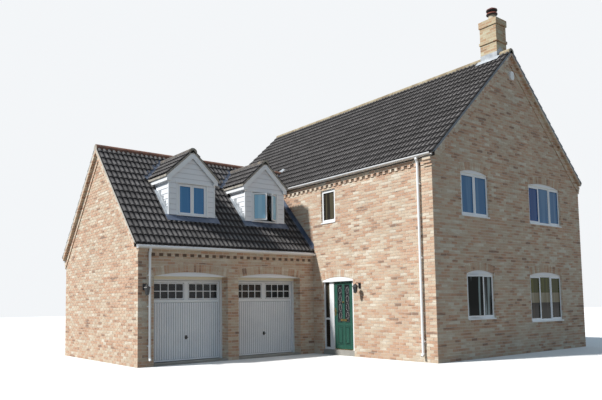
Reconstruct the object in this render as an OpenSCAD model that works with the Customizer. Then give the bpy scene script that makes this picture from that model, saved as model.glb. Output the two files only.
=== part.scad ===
// Detached brick house: a gabled two-storey main block with a chimney at the ridge,
// and a lower garage wing with two boarded dormers over two up-and-over doors.
// The gable and the garage doors face -Y, the front door faces -X, and +Z is up.

/* [Main block] */
// Width across the gable walls, along X
main_width = 7250; // [6600:10:9000]
// Length along the eaves, along Y
main_length = 11070; // [10700:10:14000]
// Height of the tile surface above the outer face of the eaves walls
main_eaves = 5255; // [5150:5:6200]
// Slope of the main roof in degrees
main_pitch = 43.4; // [36:0.1:50]

/* [Garage wing] */
// How far the wing reaches out from the main block, along X
wing_length = 5610; // [5500:10:7200]
// Depth of the wing across its ridge, along Y
wing_depth = 5448; // [5000:10:5900]
// Distance of the wing's front face behind the main gable
wing_y = 4662; // [4500:10:5000]
// Height of the tile surface above the wing's front wall
wing_eaves = 3135; // [3100:5:3250]
// Slope of the wing's roof in degrees
wing_pitch = 47.1; // [42:0.1:48]

/* [Walls and floors] */
// Thickness of the outer walls
wall = 300; // [250:10:330]
// Height of one brick course with its joint
course = 77; // [70:1:80]
// Length of two headers with their joints, the spacing of the dentils
dentil_pitch = 220; // [200:1:240]
// How far corbelled bricks stand out from the wall
corbel = 30; // [15:1:40]
// Top of the ground floor in the main block
floor_top = 154; // [120:1:160]
// Top of the garage floor
garage_floor_top = 50; // [30:1:60]
// Underside of the first floor
ceiling_z = 2550; // [2480:10:2600]
// Thickness of the first floor
upper_floor = 200; // [150:5:250]

/* [Roofs] */
// Depth of a roof slope, square to its surface
roof_depth = 120; // [90:5:140]
// Thickness of the tiles at the eaves, measured upright
tile_edge = 30; // [20:1:40]
// How far the tiles reach over the gutter
tile_out = 75; // [60:1:80]
// How far the roof stands out past a gable wall
verge_out = 110; // [80:1:150]
// Radius of the half-round ridge tiles
ridge_radius = 125; // [110:1:140]
// Height of the ridge tile's centre below the top of the slopes
ridge_sink = 70; // [50:1:90]

/* [Dormers] */
// Width of a dormer's wall
dormer_width = 1400; // [1300:10:1500]
// Distance of the dormer fronts behind the wing's front face
dormer_setback = 678; // [640:1:760]
// Centre of the left dormer, from the main block's face
dormer_left_x = -3745; // [-3900:5:-3600]
// Centre of the right dormer, from the main block's face
dormer_right_x = -1290; // [-1400:5:-1100]
// Height of a dormer's apex
dormer_apex = 5800; // [5700:5:5850]
// Slope of a dormer's roof in degrees
dormer_pitch = 45; // [42:0.5:48]
// Depth of a dormer's roof, square to its surface
dormer_roof_depth = 80; // [60:5:100]
// How far a dormer's roof stands out past its walls
dormer_out = 130; // [100:5:160]
// Thickness of the dormer walls
dormer_wall = 130; // [100:5:150]
// Width of a dormer's window
dormer_window_w = 900; // [800:10:950]
// Underside of the dormer windows
dormer_window_z = 3955; // [3940:5:4000]
// Height of the dormer windows
dormer_window_h = 880; // [820:10:900]
// How far both sashes of the right dormer stand open, in degrees
dormer_sash_open = 37; // [5:1:60]

/* [Windows] */
// Width of a window frame's bars
frame_bar = 50; // [40:1:60]
// Depth of a window frame
frame_depth = 70; // [60:1:80]
// Distance of the window frames behind the wall face
window_setback = 45; // [40:1:80]
// Thickness of the sealed glass units
glass_depth = 24; // [16:1:28]
// Height of the window sills
sill_h = 35; // [25:1:45]
// How far the window sills stand out from the wall
sill_out = 25; // [10:1:40]
// How far the lower left sash stands open, in degrees
sash_open = 16; // [5:1:60]
// Height of the arch springing of the upper windows
upper_head = 4850; // [4800:5:4900]
// Height of the arch springing of the lower windows
lower_head = 2200; // [2150:5:2250]
// Width of the windows with two lights
two_light_w = 1208; // [1100:5:1300]
// Width of the windows with three lights
three_light_w = 1756; // [1650:5:1800]
// Height of the upper windows with their sills
upper_h = 1160; // [1050:5:1250]
// Height of the lower left window with its sill
lower_left_h = 1200; // [1050:5:1250]
// Height of the lower right window with its sill
lower_right_h = 1350; // [1250:5:1400]
// Left edge of the upper left window
upper_left_x = 1147; // [1000:5:1200]
// Left edge of the upper right window
upper_right_x = 4342; // [4200:5:4400]
// Left edge of the lower left window
lower_left_x = 1247; // [1000:5:1300]
// Left edge of the lower right window
lower_right_x = 4216; // [4100:5:4400]
// Rise of the arches over the windows
window_rise = 95; // [60:1:110]
// Near edge of the small window, from the main gable
small_window_y = 3600; // [3400:5:3700]
// Width of the small window
small_window_w = 627; // [550:1:680]
// Underside of the small window's sill
small_window_z = 3849; // [3800:1:3900]

/* [Front door] */
// Near edge of the door opening, from the main gable
door_y = 2910; // [2700:5:3000]
// Width of the opening for the door and the sidelight
door_opening_w = 1317; // [1300:1:1400]
// Height of the arch springing over the door
door_head = 2157; // [2130:1:2200]
// Rise of the arch over the door
door_rise = 90; // [60:1:110]
// Distance of the door frame behind the wall face
door_setback = 55; // [50:1:80]
// Width of the door leaf
leaf_w = 770; // [740:1:790]
// Height of the door leaf
leaf_h = 1928; // [1900:1:1930]
// Thickness of the door leaf
leaf_depth = 44; // [40:1:54]

/* [Garage doors] */
// Width of each garage opening
garage_opening_w = 2168; // [2100:1:2200]
// Left edge of the left garage opening, from the wing's end
garage_left_gap = 416; // [380:1:440]
// Width of the pier between the garage openings
garage_middle_pier = 340; // [300:1:360]
// Height of the arch springing over the garage doors
garage_head = 2248; // [2230:1:2270]
// Rise of the arches over the garage doors
garage_rise = 112; // [80:1:130]
// Height of a garage door
garage_leaf_h = 2115; // [2050:1:2120]
// Thickness of a garage door
garage_leaf_depth = 40; // [35:1:50]
// Visible width of the garage door frames
garage_frame_bar = 60; // [50:1:75]
// Distance of the turning pins below the top of the door
garage_pin_drop = 1400; // [1350:1:1450]

/* [Chimney] */
// Width of the stack across the ridge
stack_w = 500; // [440:5:560]
// Length of the stack along the ridge
stack_l = 550; // [500:5:650]
// Distance of the stack behind the gable face
stack_y = 250; // [200:5:400]
// How far the stack's centre lies past the ridge
stack_shift = 65; // [0:1:80]
// Height of the stack above the top of the slopes
stack_rise = 1080; // [900:10:1300]

/* [Rainwater goods] */
// Radius of the half-round gutters
gutter_radius = 56; // [50:1:60]
// Radius of the downpipes
pipe_radius = 34; // [30:1:38]
// Depth of the main gutter's rim below the underside of the tiles
main_gutter_drop = 4; // [4:1:20]
// Depth of the wing gutter's rim below the underside of the tiles
wing_gutter_drop = 66; // [40:1:80]

/* [Hidden] */

gap = 0.3;
clearance = 7;
slope_main = tan(main_pitch);
slope_wing = tan(wing_pitch);
slope_dormer = tan(dormer_pitch);
main_half = main_width / 2;
wing_half = wing_depth / 2;
main_apex = main_eaves + main_half * slope_main;
wing_apex = wing_eaves + wing_half * slope_wing;
main_plumb = roof_depth / cos(main_pitch);
wing_plumb = roof_depth / cos(wing_pitch);
// The walls end a gap below the slopes
main_wall_top = main_eaves - main_plumb - gap;
wing_wall_top = wing_eaves - wing_plumb - gap;
wing_rear = wing_y + wing_depth;
// Where the wing's ridge dies into the main slope
wing_inner = (wing_apex - main_eaves) / slope_main;

// Extent of the whole house, which sets its middle at the origin
fascia = 22;
board_u = corbel + fascia;
gutter_x = board_u + gutter_radius + gap;
low_x = -wing_length - verge_out;
high_x = main_width + gutter_x + gutter_radius;
middle_x = (low_x + high_x) / 2;
sash_lap = 12;
sash_out = 14;
hinge_gap = 0.5;
sash_reach = (light_w(two_light_w, [1, 1]) + 2 * sash_lap) * sin(sash_open)
    + (sash_out + hinge_gap) * cos(sash_open) - window_setback;
middle_y = (main_length + verge_out - max(verge_out, sash_reach)) / 2;

// Tops of the boards behind the gutters, and the gutters' rims
main_board_top = main_eaves - board_u * slope_main - tile_edge;
wing_board_top = wing_eaves - board_u * slope_wing - tile_edge;
main_rim = main_board_top - gap * slope_main - main_gutter_drop;
wing_rim = wing_board_top - gap * slope_wing - wing_gutter_drop;

module placed() translate([-middle_x, -middle_y, 0]) children();
// An outline in X and Z, run along Y
module along_y(from, to) translate([0, to, 0]) rotate([90, 0, 0]) linear_extrude(to - from) children();
// An outline in Y and Z, run along X
module along_x(from, to) translate([from, 0, 0]) rotate([90, 0, 90]) linear_extrude(to - from) children();
module box(low, high) translate(low) cube(high - low);

// Section of one roof slope, u runs inwards from the wall face
function slope_outline(run, eaves, slope, plumb) = [
    [-tile_out, eaves - tile_out * slope], [run, eaves + run * slope],
    [run, eaves + run * slope - plumb], [0, eaves - plumb],
    [0, eaves - tile_edge], [-tile_out, eaves - tile_out * slope - tile_edge]];
// Section of all that lies below the tiles between two eaves walls
function body_outline(span, eaves, slope, out = 0, low = -10) = [
    [-out, low], [span + out, low], [span + out, eaves - out * slope],
    [span / 2, eaves + span / 2 * slope], [-out, eaves - out * slope]];
// The bodies that are cut from what lies on the slopes, a gap above the tiles
module main_body() along_y(-1000, main_length + 1000)
    polygon(body_outline(main_width, main_eaves + gap, slope_main));
module wing_body() along_x(-wing_length - 1000, 0) translate([wing_y, 0])
    polygon(body_outline(wing_depth, wing_eaves + gap, slope_wing, tile_out));
// The wing's slopes on their own, which the dormers and the ridge tiles lie on
module wing_slope_body() along_x(-wing_length - 1000, main_half) translate([wing_y, 0])
    polygon(body_outline(wing_depth, wing_eaves + gap, slope_wing));

// Openings

// An arch over a span in short straight steps, from its right springing to its left
arch_steps = 20;
function arch_points(x, w, z, rise) =
    let (radius = (w * w / 4 + rise * rise) / (2 * rise), half = asin(w / 2 / radius))
    [for (k = [0:arch_steps]) let (a = half * (1 - 2 * k / arch_steps))
        [x + w / 2 + radius * sin(a), z + rise - radius + radius * cos(a)]];
module arch_segment(x, w, z, rise) polygon(arch_points(x, w, z, rise));
module arched_opening(x, w, low, head, rise)
    polygon(concat([[x, low], [x + w, low]], arch_points(x, w, head, rise)));

// Gable windows: left edge, width, underside of sill, springing, lights (1 is a sash), sash opening
gable_windows = [
    [upper_left_x, two_light_w, upper_head - upper_h, upper_head, [1, 1], 0],
    [upper_right_x, three_light_w, upper_head - upper_h, upper_head, [1, 0, 1], 0],
    [lower_left_x, two_light_w, lower_head - lower_left_h, lower_head, [1, 1], sash_open],
    [lower_right_x, three_light_w, lower_head - lower_right_h, lower_head, [1, 0, 1], 0]];
// The plain side repeats the two storeys of the gable
east_windows = [for (bay = [0:2], row = [[upper_head, upper_h], [lower_head, lower_left_h]])
    [main_length * (bay + 0.5) / 3 - two_light_w / 2, two_light_w, row[0] - row[1], row[0], [1, 1], 0]];
small_window = [small_window_y, small_window_w, small_window_z, upper_head, [1], 0];
small_window_head = upper_head;

module window_cuts(list) for (w = list) arched_opening(w[0], w[1], w[2], w[3], window_rise);

// Floors

module ground_floor() color("gainsboro") placed() {
    box([wall, wall, 0], [main_width - wall, main_length - wall, floor_top]);
    box([0, door_y, 0], [wall + 1, door_y + door_opening_w, floor_top]);
    box([wall - wing_length, wing_y + wall, 0], [0, wing_rear - wall, garage_floor_top]);
    for (x = garage_xs) box([x, wing_y, 0], [x + garage_opening_w, wing_y + wall + 1, garage_floor_top]);
}
module first_floor() color("burlywood") placed() {
    box([wall, wall, ceiling_z], [main_width - wall, main_length - wall, ceiling_z + upper_floor]);
    box([wall - wing_length, wing_y + wall, ceiling_z], [0, wing_rear - wall, ceiling_z + upper_floor]);
}

// Walls of the main block

function gable_outline(span, wall_top, slope) = [
    [0, 0], [span, 0], [span, wall_top], [span / 2, wall_top + span / 2 * slope], [0, wall_top]];
// Section of an eaves wall, u runs inwards from its outer face
function eaves_wall_outline(wall_top, slope, low) = [
    [0, low], [wall, low], [wall, wall_top + wall * slope], [0, wall_top]];

module front_gable_wall() color("peru") placed() along_y(0, wall) difference() {
    polygon(gable_outline(main_width, main_wall_top, slope_main));
    window_cuts(gable_windows);
}
module rear_gable_wall() color("peru") placed() along_y(main_length - wall, main_length) difference() {
    polygon(gable_outline(main_width, main_wall_top, slope_main));
    translate([main_width, 0]) mirror([1, 0]) window_cuts(gable_windows);
}
module entrance_wall_near() color("peachpuff") placed()
    box([0, wall, 0], [wall, door_y, door_head]);
module entrance_wall_far() color("peachpuff") placed()
    box([0, door_y + door_opening_w, 0], [wall, main_length - wall, door_head]);
module entrance_wall_upper() color("peachpuff") placed() difference() {
    along_y(wall, main_length - wall)
        polygon(eaves_wall_outline(main_wall_top, slope_main, door_head));
    along_x(-1, wall + 1) arched_opening(door_y, door_opening_w, door_head - 1, door_head, door_rise);
    along_x(-1, wall + 1) translate([small_window_y, small_window_z])
        square([small_window_w, small_window_head - small_window_z]);
}
module east_wall() color("peru") placed() difference() {
    along_y(wall, main_length - wall) translate([main_width, 0]) mirror([1, 0])
        polygon(eaves_wall_outline(main_wall_top, slope_main, 0));
    along_x(main_width - wall - 1, main_width + 1) window_cuts(east_windows);
}

// Walls of the garage wing

garage_left_x = garage_left_gap - wing_length;
garage_right_x = garage_left_x + garage_opening_w + garage_middle_pier;
garage_xs = [garage_left_x, garage_right_x];

module garage_gable_wall() color("peachpuff") placed() along_x(-wing_length, wall - wing_length)
    difference() {
        translate([wing_y, 0]) polygon(gable_outline(wing_depth, wing_wall_top, slope_wing));
        translate([wing_y - 1, -1]) square([wall + 1, wing_wall_top + 1]);
        translate([wing_rear - wall, -1]) square([wall + 1, wing_wall_top + 1]);
    }
module garage_piers() color("sienna") placed() {
    box([-wing_length, wing_y, 0], [garage_left_x, wing_y + wall, garage_head]);
    box([garage_left_x + garage_opening_w, wing_y, 0], [garage_right_x, wing_y + wall, garage_head]);
    box([garage_right_x + garage_opening_w, wing_y, 0], [0, wing_y + wall, garage_head]);
}
module garage_door_band() color("sienna") placed() difference() {
    union() {
        box([-wing_length, wing_y, garage_head], [0, wing_y + wall, wing_wall_top]);
        along_x(wall - wing_length, 0) translate([wing_y, 0])
            polygon(eaves_wall_outline(wing_wall_top, slope_wing, wing_wall_top - 1));
    }
    for (x = garage_xs) along_y(wing_y - 1, wing_y + wall + 1)
        arched_opening(x, garage_opening_w, garage_head - 1, garage_head, garage_rise);
}
module garage_rear_wall() color("sienna") placed() {
    box([-wing_length, wing_rear - wall, 0], [0, wing_rear, wing_wall_top]);
    along_x(wall - wing_length, 0) translate([wing_rear, 0]) mirror([1, 0])
        polygon(eaves_wall_outline(wing_wall_top, slope_wing, wing_wall_top - 1));
}

// Roofs

module main_slope() along_y(-verge_out, main_length + verge_out)
    polygon(slope_outline(main_half, main_eaves, slope_main, main_plumb));
module main_roof_west() color("dimgray") placed() difference() {
    main_slope();
    wing_body();
}
module main_roof_east() color("dimgray") placed() translate([main_width, 0, 0]) mirror([1, 0, 0]) main_slope();

module wing_slope() along_x(-wing_length - verge_out, wing_inner + ridge_radius)
    polygon(slope_outline(wing_half, wing_eaves, slope_wing, wing_plumb));
dormer_xs = [dormer_left_x, dormer_right_x];
dormer_y = wing_y + dormer_setback;
dormer_half = dormer_width / 2;
dormer_inside = dormer_half - dormer_wall;
dormer_plumb = dormer_roof_depth / cos(dormer_pitch);
// Tops of a dormer's walls, at its apex and over its cheeks
dormer_wall_apex = dormer_apex - dormer_plumb - gap;
dormer_wall_top = dormer_wall_apex - dormer_half * slope_dormer;
// Where the dormer's roof meets the wing's slope over the cheeks
dormer_back_y = wing_y + (dormer_wall_top - wing_eaves) / slope_wing;
module garage_roof_front() color("dimgray") placed() difference() {
    translate([0, wing_y, 0]) wing_slope();
    main_body();
    for (x = dormer_xs)
        box([x - dormer_inside, dormer_y + dormer_wall, wing_eaves],
            [x + dormer_inside, dormer_back_y, wing_apex]);
}
module garage_roof_rear() color("dimgray") placed() difference() {
    translate([0, wing_rear, 0]) mirror([0, 1, 0]) wing_slope();
    main_body();
}

// Half-round ridge tile on its mortar bed, over slopes whose top is at height z
module ridge_section(z) difference() {
    translate([0, z - ridge_sink]) circle(r = ridge_radius, $fn = 48);
    translate([-ridge_radius - 1, z - 3 * ridge_radius]) square([2 * ridge_radius + 2, 2 * ridge_radius]);
}
stack_x = main_half + stack_shift - stack_w / 2;
module ridge_tiles() color("darkkhaki") placed() {
    for (part = [[-verge_out, stack_y], [stack_y + stack_l, main_length + verge_out]])
        difference() {
            along_y(part[0], part[1]) translate([main_half, 0]) ridge_section(main_apex);
            main_body();
        }
    difference() {
        along_x(-wing_length - verge_out, wing_inner + ridge_radius) translate([wing_y + wing_half, 0])
            ridge_section(wing_apex);
        main_body();
        wing_slope_body();
        for (x = dormer_xs) translate([x, 0, 0]) dormer_body();
    }
    for (x = dormer_xs) difference() {
        along_y(dormer_y - dormer_out, dormer_ridge_end) translate([x, 0])
            ridge_section(dormer_apex);
        wing_slope_body();
        translate([x, 0, 0]) dormer_body();
    }
}

// Dormers, each built about its own middle line

dormer_ridge_end = wing_y + min(wing_half, (dormer_apex + ridge_radius - wing_eaves) / slope_wing);
module dormer_body() along_y(dormer_y - 1000, wing_y + wing_half + gap)
    polygon([[-2 * dormer_half, dormer_apex + gap - 2 * dormer_half * slope_dormer], [0, dormer_apex + gap],
        [2 * dormer_half, dormer_apex + gap - 2 * dormer_half * slope_dormer]]);
function dormer_underside(low) = [
    [-dormer_half, low], [dormer_half, low], [dormer_half, dormer_wall_top],
    [0, dormer_wall_apex], [-dormer_half, dormer_wall_top]];
module dormer_window_cut() translate([-dormer_window_w / 2, dormer_window_z])
    square([dormer_window_w, dormer_window_h]);

module dormer_fronts() color("lightsteelblue") placed() for (x = dormer_xs) difference() {
    translate([x, 0, 0]) along_y(dormer_y, dormer_y + dormer_wall) difference() {
        polygon(dormer_underside(wing_eaves));
        dormer_window_cut();
    }
    wing_slope_body();
}
module dormer_cheeks() color("white") placed() for (x = dormer_xs) difference() {
    translate([x, 0, 0]) along_y(dormer_y + dormer_wall, wing_rear - wing_half) difference() {
        polygon(dormer_underside(wing_eaves));
        translate([-dormer_inside, 0]) square([2 * dormer_inside, wing_apex]);
    }
    wing_slope_body();
}
dormer_roof_half = dormer_half + dormer_out;
module dormer_roofs() color("dimgray") placed() for (x = dormer_xs) difference() {
    translate([x, 0, 0]) along_y(dormer_y - dormer_out + barge_depth, wing_y + wing_half)
        polygon([[0, dormer_apex], [dormer_roof_half, dormer_apex - dormer_roof_half * slope_dormer],
            [dormer_roof_half, dormer_apex - dormer_roof_half * slope_dormer - dormer_plumb],
            [0, dormer_apex - dormer_plumb],
            [-dormer_roof_half, dormer_apex - dormer_roof_half * slope_dormer - dormer_plumb],
            [-dormer_roof_half, dormer_apex - dormer_roof_half * slope_dormer]]);
    wing_slope_body();
}
barge_depth = 22;
barge_h = 190;
module barge_boards() color("white") placed() for (x = dormer_xs)
    translate([x, 0, 0]) along_y(dormer_y - dormer_out, dormer_y - dormer_out + barge_depth)
        polygon([[0, dormer_apex], [dormer_roof_half, dormer_apex - dormer_roof_half * slope_dormer],
            [dormer_roof_half, dormer_apex - dormer_roof_half * slope_dormer - barge_h],
            [0, dormer_apex - barge_h],
            [-dormer_roof_half, dormer_apex - dormer_roof_half * slope_dormer - barge_h],
            [-dormer_roof_half, dormer_apex - dormer_roof_half * slope_dormer]]);

// Windows, each drawn in X and Z with its outer face at y = 0

// Size of one light of a window, between the bars
function light_w(w, lights) = (w - (len(lights) + 1) * frame_bar) / len(lights);
function light_x(w, lights, k) = frame_bar + k * (light_w(w, lights) + frame_bar);
sash_bar = 38;

module sash_ring(w, h) difference() {
    translate([-sash_lap, -sash_lap]) square([w + 2 * sash_lap, h + 2 * sash_lap]);
    translate([sash_bar - sash_lap, sash_bar - sash_lap])
        square([w - 2 * (sash_bar - sash_lap), h - 2 * (sash_bar - sash_lap)]);
}
// A sash's place: closed on the frame's face, or swung out on its left edge
module sash_place(x, z, angle) translate([x, 0, z])
    translate([-sash_lap, 0, 0]) rotate([0, 0, -angle]) translate([sash_lap, angle > 0 ? -hinge_gap : 0, 0])
        children();
module window_frame(w, h, lights, angle = 0, sill = true) {
    difference() {
        translate([0, 0, sill ? sill_h : 0]) cube([w, frame_depth, h - (sill ? sill_h : 0)]);
        for (k = [0:len(lights) - 1])
            translate([light_x(w, lights, k), -1, frame_bar + (sill ? sill_h : 0)])
                cube([light_w(w, lights), frame_depth + 2, h - (sill ? sill_h : 0) - 2 * frame_bar]);
    }
    if (sill) translate([0, -window_setback - sill_out, 0])
        cube([w, window_setback + sill_out + frame_depth, sill_h]);
    for (k = [0:len(lights) - 1]) if (lights[k] == 1)
        sash_place(light_x(w, lights, k), frame_bar + (sill ? sill_h : 0), k == 0 ? angle : 0)
            rotate([90, 0, 0])
                linear_extrude(sash_out) sash_ring(light_w(w, lights), h - (sill ? sill_h : 0) - 2 * frame_bar);
}
module window_panes(w, h, lights, angle = 0, sill = true) {
    light_h = h - (sill ? sill_h : 0) - 2 * frame_bar;
    for (k = [0:len(lights) - 1]) {
        swung = lights[k] == 1 && k == 0 && angle > 0;
        sash_place(light_x(w, lights, k), frame_bar + (sill ? sill_h : 0), swung ? angle : 0)
            if (swung)
                translate([sash_bar - sash_lap + gap, -sash_out, sash_bar - sash_lap + gap])
                    cube([light_w(w, lights) - 2 * (sash_bar - sash_lap + gap), sash_out - 1,
                        light_h - 2 * (sash_bar - sash_lap + gap)]);
            else
                translate([gap, 10, gap])
                    cube([light_w(w, lights) - 2 * gap, glass_depth, light_h - 2 * gap]);
    }
}
// Places for what is drawn at y = 0 facing -Y
module in_front_gable(x, z) translate([x, window_setback, z]) children();
module in_rear_gable(x, z) translate([main_width - x, main_length - window_setback, z])
    rotate([0, 0, 180]) children();
module in_east_wall(y, z) translate([main_width - window_setback, y, z]) rotate([0, 0, 90]) children();
module in_entrance_wall(y, w, setback, z) translate([setback, y + w, z]) rotate([0, 0, -90]) children();
module in_dormer(x) translate([x - dormer_window_w / 2, dormer_y + dormer_window_setback, dormer_window_z])
    children();
dormer_window_setback = 10;

module front_window_frames() color("white") placed() {
    for (w = gable_windows) in_front_gable(w[0], w[2]) window_frame(w[1], w[3] - w[2], w[4], w[5]);
    in_entrance_wall(small_window[0], small_window[1], window_setback, small_window[2])
        window_frame(small_window[1], small_window_head - small_window[2], small_window[4]);
}
module plain_window_frames() color("white") placed() {
    for (w = gable_windows) in_rear_gable(w[0], w[2]) window_frame(w[1], w[3] - w[2], w[4]);
    for (w = east_windows) in_east_wall(w[0], w[2]) window_frame(w[1], w[3] - w[2], w[4]);
}
module dormer_window_frames() color("white") placed() {
    in_dormer(dormer_left_x) window_frame(dormer_window_w, dormer_window_h, [1, 1], 0, false);
    in_dormer(dormer_right_x) open_casements("frame");
}
// A pair of casements that meet in the middle with no bar between, both swung out
module open_casements(what) {
    h = dormer_window_h - 2 * frame_bar;
    w = (dormer_window_w - 2 * frame_bar) / 2;
    if (what == "frame") difference() {
        cube([dormer_window_w, frame_depth, dormer_window_h]);
        translate([frame_bar, -1, frame_bar])
            cube([dormer_window_w - 2 * frame_bar, frame_depth + 2, h]);
    }
    for (side = [0, 1]) translate([side * dormer_window_w, 0, 0]) mirror([side, 0, 0])
        sash_place(frame_bar, frame_bar, dormer_sash_open)
            if (what == "frame") rotate([90, 0, 0]) linear_extrude(sash_out * 2) sash_ring(w - sash_lap, h);
            else translate([sash_bar - sash_lap + gap, -1.5 * sash_out, sash_bar - sash_lap + gap])
                cube([w - sash_lap - 2 * (sash_bar - sash_lap + gap), sash_out,
                    h - 2 * (sash_bar - sash_lap + gap)]);
}
module window_glass() color("lightblue") placed() {
    for (w = gable_windows) in_front_gable(w[0], w[2]) window_panes(w[1], w[3] - w[2], w[4], w[5]);
    for (w = gable_windows) in_rear_gable(w[0], w[2]) window_panes(w[1], w[3] - w[2], w[4]);
    for (w = east_windows) in_east_wall(w[0], w[2]) window_panes(w[1], w[3] - w[2], w[4]);
    in_entrance_wall(small_window[0], small_window[1], window_setback, small_window[2])
        window_panes(small_window[1], small_window_head - small_window[2], small_window[4]);
    in_dormer(dormer_left_x) window_panes(dormer_window_w, dormer_window_h, [1, 1], 0, false);
    in_dormer(dormer_right_x) open_casements("glass");
    in_entrance_wall(door_y, door_opening_w, door_setback, 0) sidelight_panes();
}
// White boards that fill the arches over the frames
infill_setback = 20;
module arch_infills() color("white") placed() {
    for (w = gable_windows) {
        along_y(infill_setback, window_setback + frame_depth) arch_segment(w[0], w[1], w[3], window_rise);
        along_y(main_length - window_setback - frame_depth, main_length - infill_setback)
            arch_segment(main_width - w[0] - w[1], w[1], w[3], window_rise);
    }
    for (w = east_windows) along_x(main_width - window_setback - frame_depth, main_width - infill_setback)
        arch_segment(w[0], w[1], w[3], window_rise);
    for (x = garage_xs) along_y(wing_y + infill_setback, wing_y + wall)
        arch_segment(x, garage_opening_w, garage_head, garage_rise);
}

// Front door with its frame and sidelight, drawn in X and Z, hinged on the right

side_jamb_w = 45;
sidelight_w = 200;
post_w = 190;
threshold_h = 22;
leaf_setback = 16;
door_frame_depth = leaf_setback + leaf_depth;
hinge_radius = 7;
hinge_h = 45;
hinge_zs = [200, 920, 1640];
leaf_bottom = floor_top + threshold_h + clearance;
leaf_top = leaf_bottom + leaf_h;
leaf_x = side_jamb_w + sidelight_w + post_w + clearance;
transom_z = 1010;
transom_h = 60;

module door_frame() color("white") placed()
    in_entrance_wall(door_y, door_opening_w, door_setback, 0) {
        rotate([90, 0, 0]) translate([0, 0, -door_frame_depth]) linear_extrude(door_frame_depth)
            difference() {
                arched_opening(0, door_opening_w, floor_top, door_head, door_rise);
                translate([side_jamb_w, floor_top + 60])
                    square([sidelight_w, leaf_top - floor_top - 60]);
                translate([leaf_x - clearance, floor_top - 1])
                    square([leaf_w + 2 * clearance, leaf_top + clearance - floor_top + 1]);
            }
        // Transom of the sidelight and the weather bar under the leaf
        translate([side_jamb_w, 0, transom_z]) cube([sidelight_w, door_frame_depth, transom_h]);
        translate([leaf_x - clearance, 0, floor_top])
            cube([leaf_w + 2 * clearance, door_frame_depth, threshold_h]);
        for (z = hinge_zs) translate([leaf_x + leaf_w + clearance / 2, door_frame_depth + hinge_radius,
            leaf_bottom + z]) hinge_half(1);
    }
// Half of a butt hinge: a knuckle about the axis and a flap to one side
module hinge_half(side) {
    cylinder(r = hinge_radius, h = hinge_h, $fn = 32);
    translate([side > 0 ? clearance / 2 : -clearance / 2 - 28, -hinge_radius, 0]) cube([28, 3, hinge_h]);
    translate([side > 0 ? 0 : -clearance / 2 - 3, -hinge_radius, 0]) cube([clearance / 2 + 3, 3, hinge_h]);
}
module sidelight_panes() {
    for (part = [[floor_top + 60, transom_z], [transom_z + transom_h, leaf_top]])
        translate([side_jamb_w + gap, 30, part[0] + gap])
            cube([sidelight_w - 2 * gap, glass_depth, part[1] - part[0] - 2 * gap]);
}
glass_light_w = 150;
glass_light_h = 1020;
glass_light_z = leaf_h - 110 - glass_light_h;
glass_light_x = [(leaf_w / 2 - glass_light_w) / 2 + 40, leaf_w / 2 + (leaf_w / 2 - glass_light_w) / 2 - 40];
plate_depth = 8;
letterplate_w = 250;
letterplate_z = 790;
knocker_z = 1330;
handle_x = 45;
handle_z = 1080;
module on_leaf() placed() in_entrance_wall(door_y, door_opening_w, door_setback, 0)
    translate([leaf_x, leaf_setback, leaf_bottom]) children();
module front_door() color("seagreen") on_leaf() difference() {
    cube([leaf_w, leaf_depth, leaf_h]);
    for (x = glass_light_x) translate([x, -1, glass_light_z])
        cube([glass_light_w, leaf_depth + 2, glass_light_h]);
}
module front_door_glass() color("lightblue") on_leaf()
    for (x = glass_light_x) translate([x + gap, 12, glass_light_z + gap])
        cube([glass_light_w - 2 * gap, leaf_depth - 24, glass_light_h - 2 * gap]);
module front_door_furniture() color("gold") on_leaf() {
    // Letterplate, knocker and lever handle on its backplate
    translate([(leaf_w - letterplate_w) / 2, -plate_depth, letterplate_z]) cube([letterplate_w, plate_depth, 60]);
    translate([leaf_w / 2, 0, knocker_z]) rotate([90, 0, 0]) cylinder(r = 22, h = 30, $fn = 32);
    translate([handle_x - 20, -plate_depth, handle_z - 130]) cube([40, plate_depth, 220]);
    translate([handle_x, -plate_depth, handle_z]) rotate([90, 0, 0]) cylinder(r = 9, h = 40, $fn = 24);
    translate([handle_x - 9, -plate_depth - 48, handle_z - 9]) cube([110, 14, 18]);
    for (z = hinge_zs) translate([leaf_w + clearance / 2, leaf_depth + hinge_radius, z + hinge_h + gap])
        hinge_half(-1);
}

// Garage doors: each turns on two pins that run up channels beside it

garage_frame_y = wing_y + wall;
garage_frame_depth = 110;
garage_lip = 46;
garage_leaf_y = garage_frame_y + garage_lip + clearance;
garage_leaf_w = garage_opening_w - 2 * garage_frame_bar - 2 * clearance;
garage_leaf_z = garage_floor_top + 12;
garage_pin_z = garage_leaf_z + garage_leaf_h - garage_pin_drop;
garage_lift = garage_pin_drop - 60;
pin_radius = 12;
pin_y = garage_leaf_y + garage_leaf_depth / 2;
channel = 40;
roller_w = 26;

module garage_door_frames() color("white") placed() for (x = garage_xs) {
    // Timber frame behind the opening, its head in front of the door's top edge
    difference() {
        translate([x - 40, garage_frame_y, garage_floor_top])
            cube([garage_opening_w + 80, garage_frame_depth, garage_head + 40 - garage_floor_top]);
        translate([x + garage_frame_bar, garage_frame_y - 1, garage_floor_top - 1])
            cube([garage_opening_w - 2 * garage_frame_bar, garage_frame_depth + 2,
                garage_leaf_z + garage_leaf_h - 20 - garage_floor_top]);
        translate([x + garage_frame_bar, garage_frame_y + garage_lip, garage_floor_top])
            cube([garage_opening_w - 2 * garage_frame_bar, garage_frame_depth, garage_head + 41]);
        // Channels that the pins' blocks run in
        for (side = [0, 1]) translate([side == 0 ? x + garage_frame_bar - channel : x + garage_opening_w
            - garage_frame_bar - 1, pin_y - channel / 2, garage_pin_z - 2 * channel])
                cube([channel + 1, channel, garage_head + 41]);
    }
}
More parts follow.
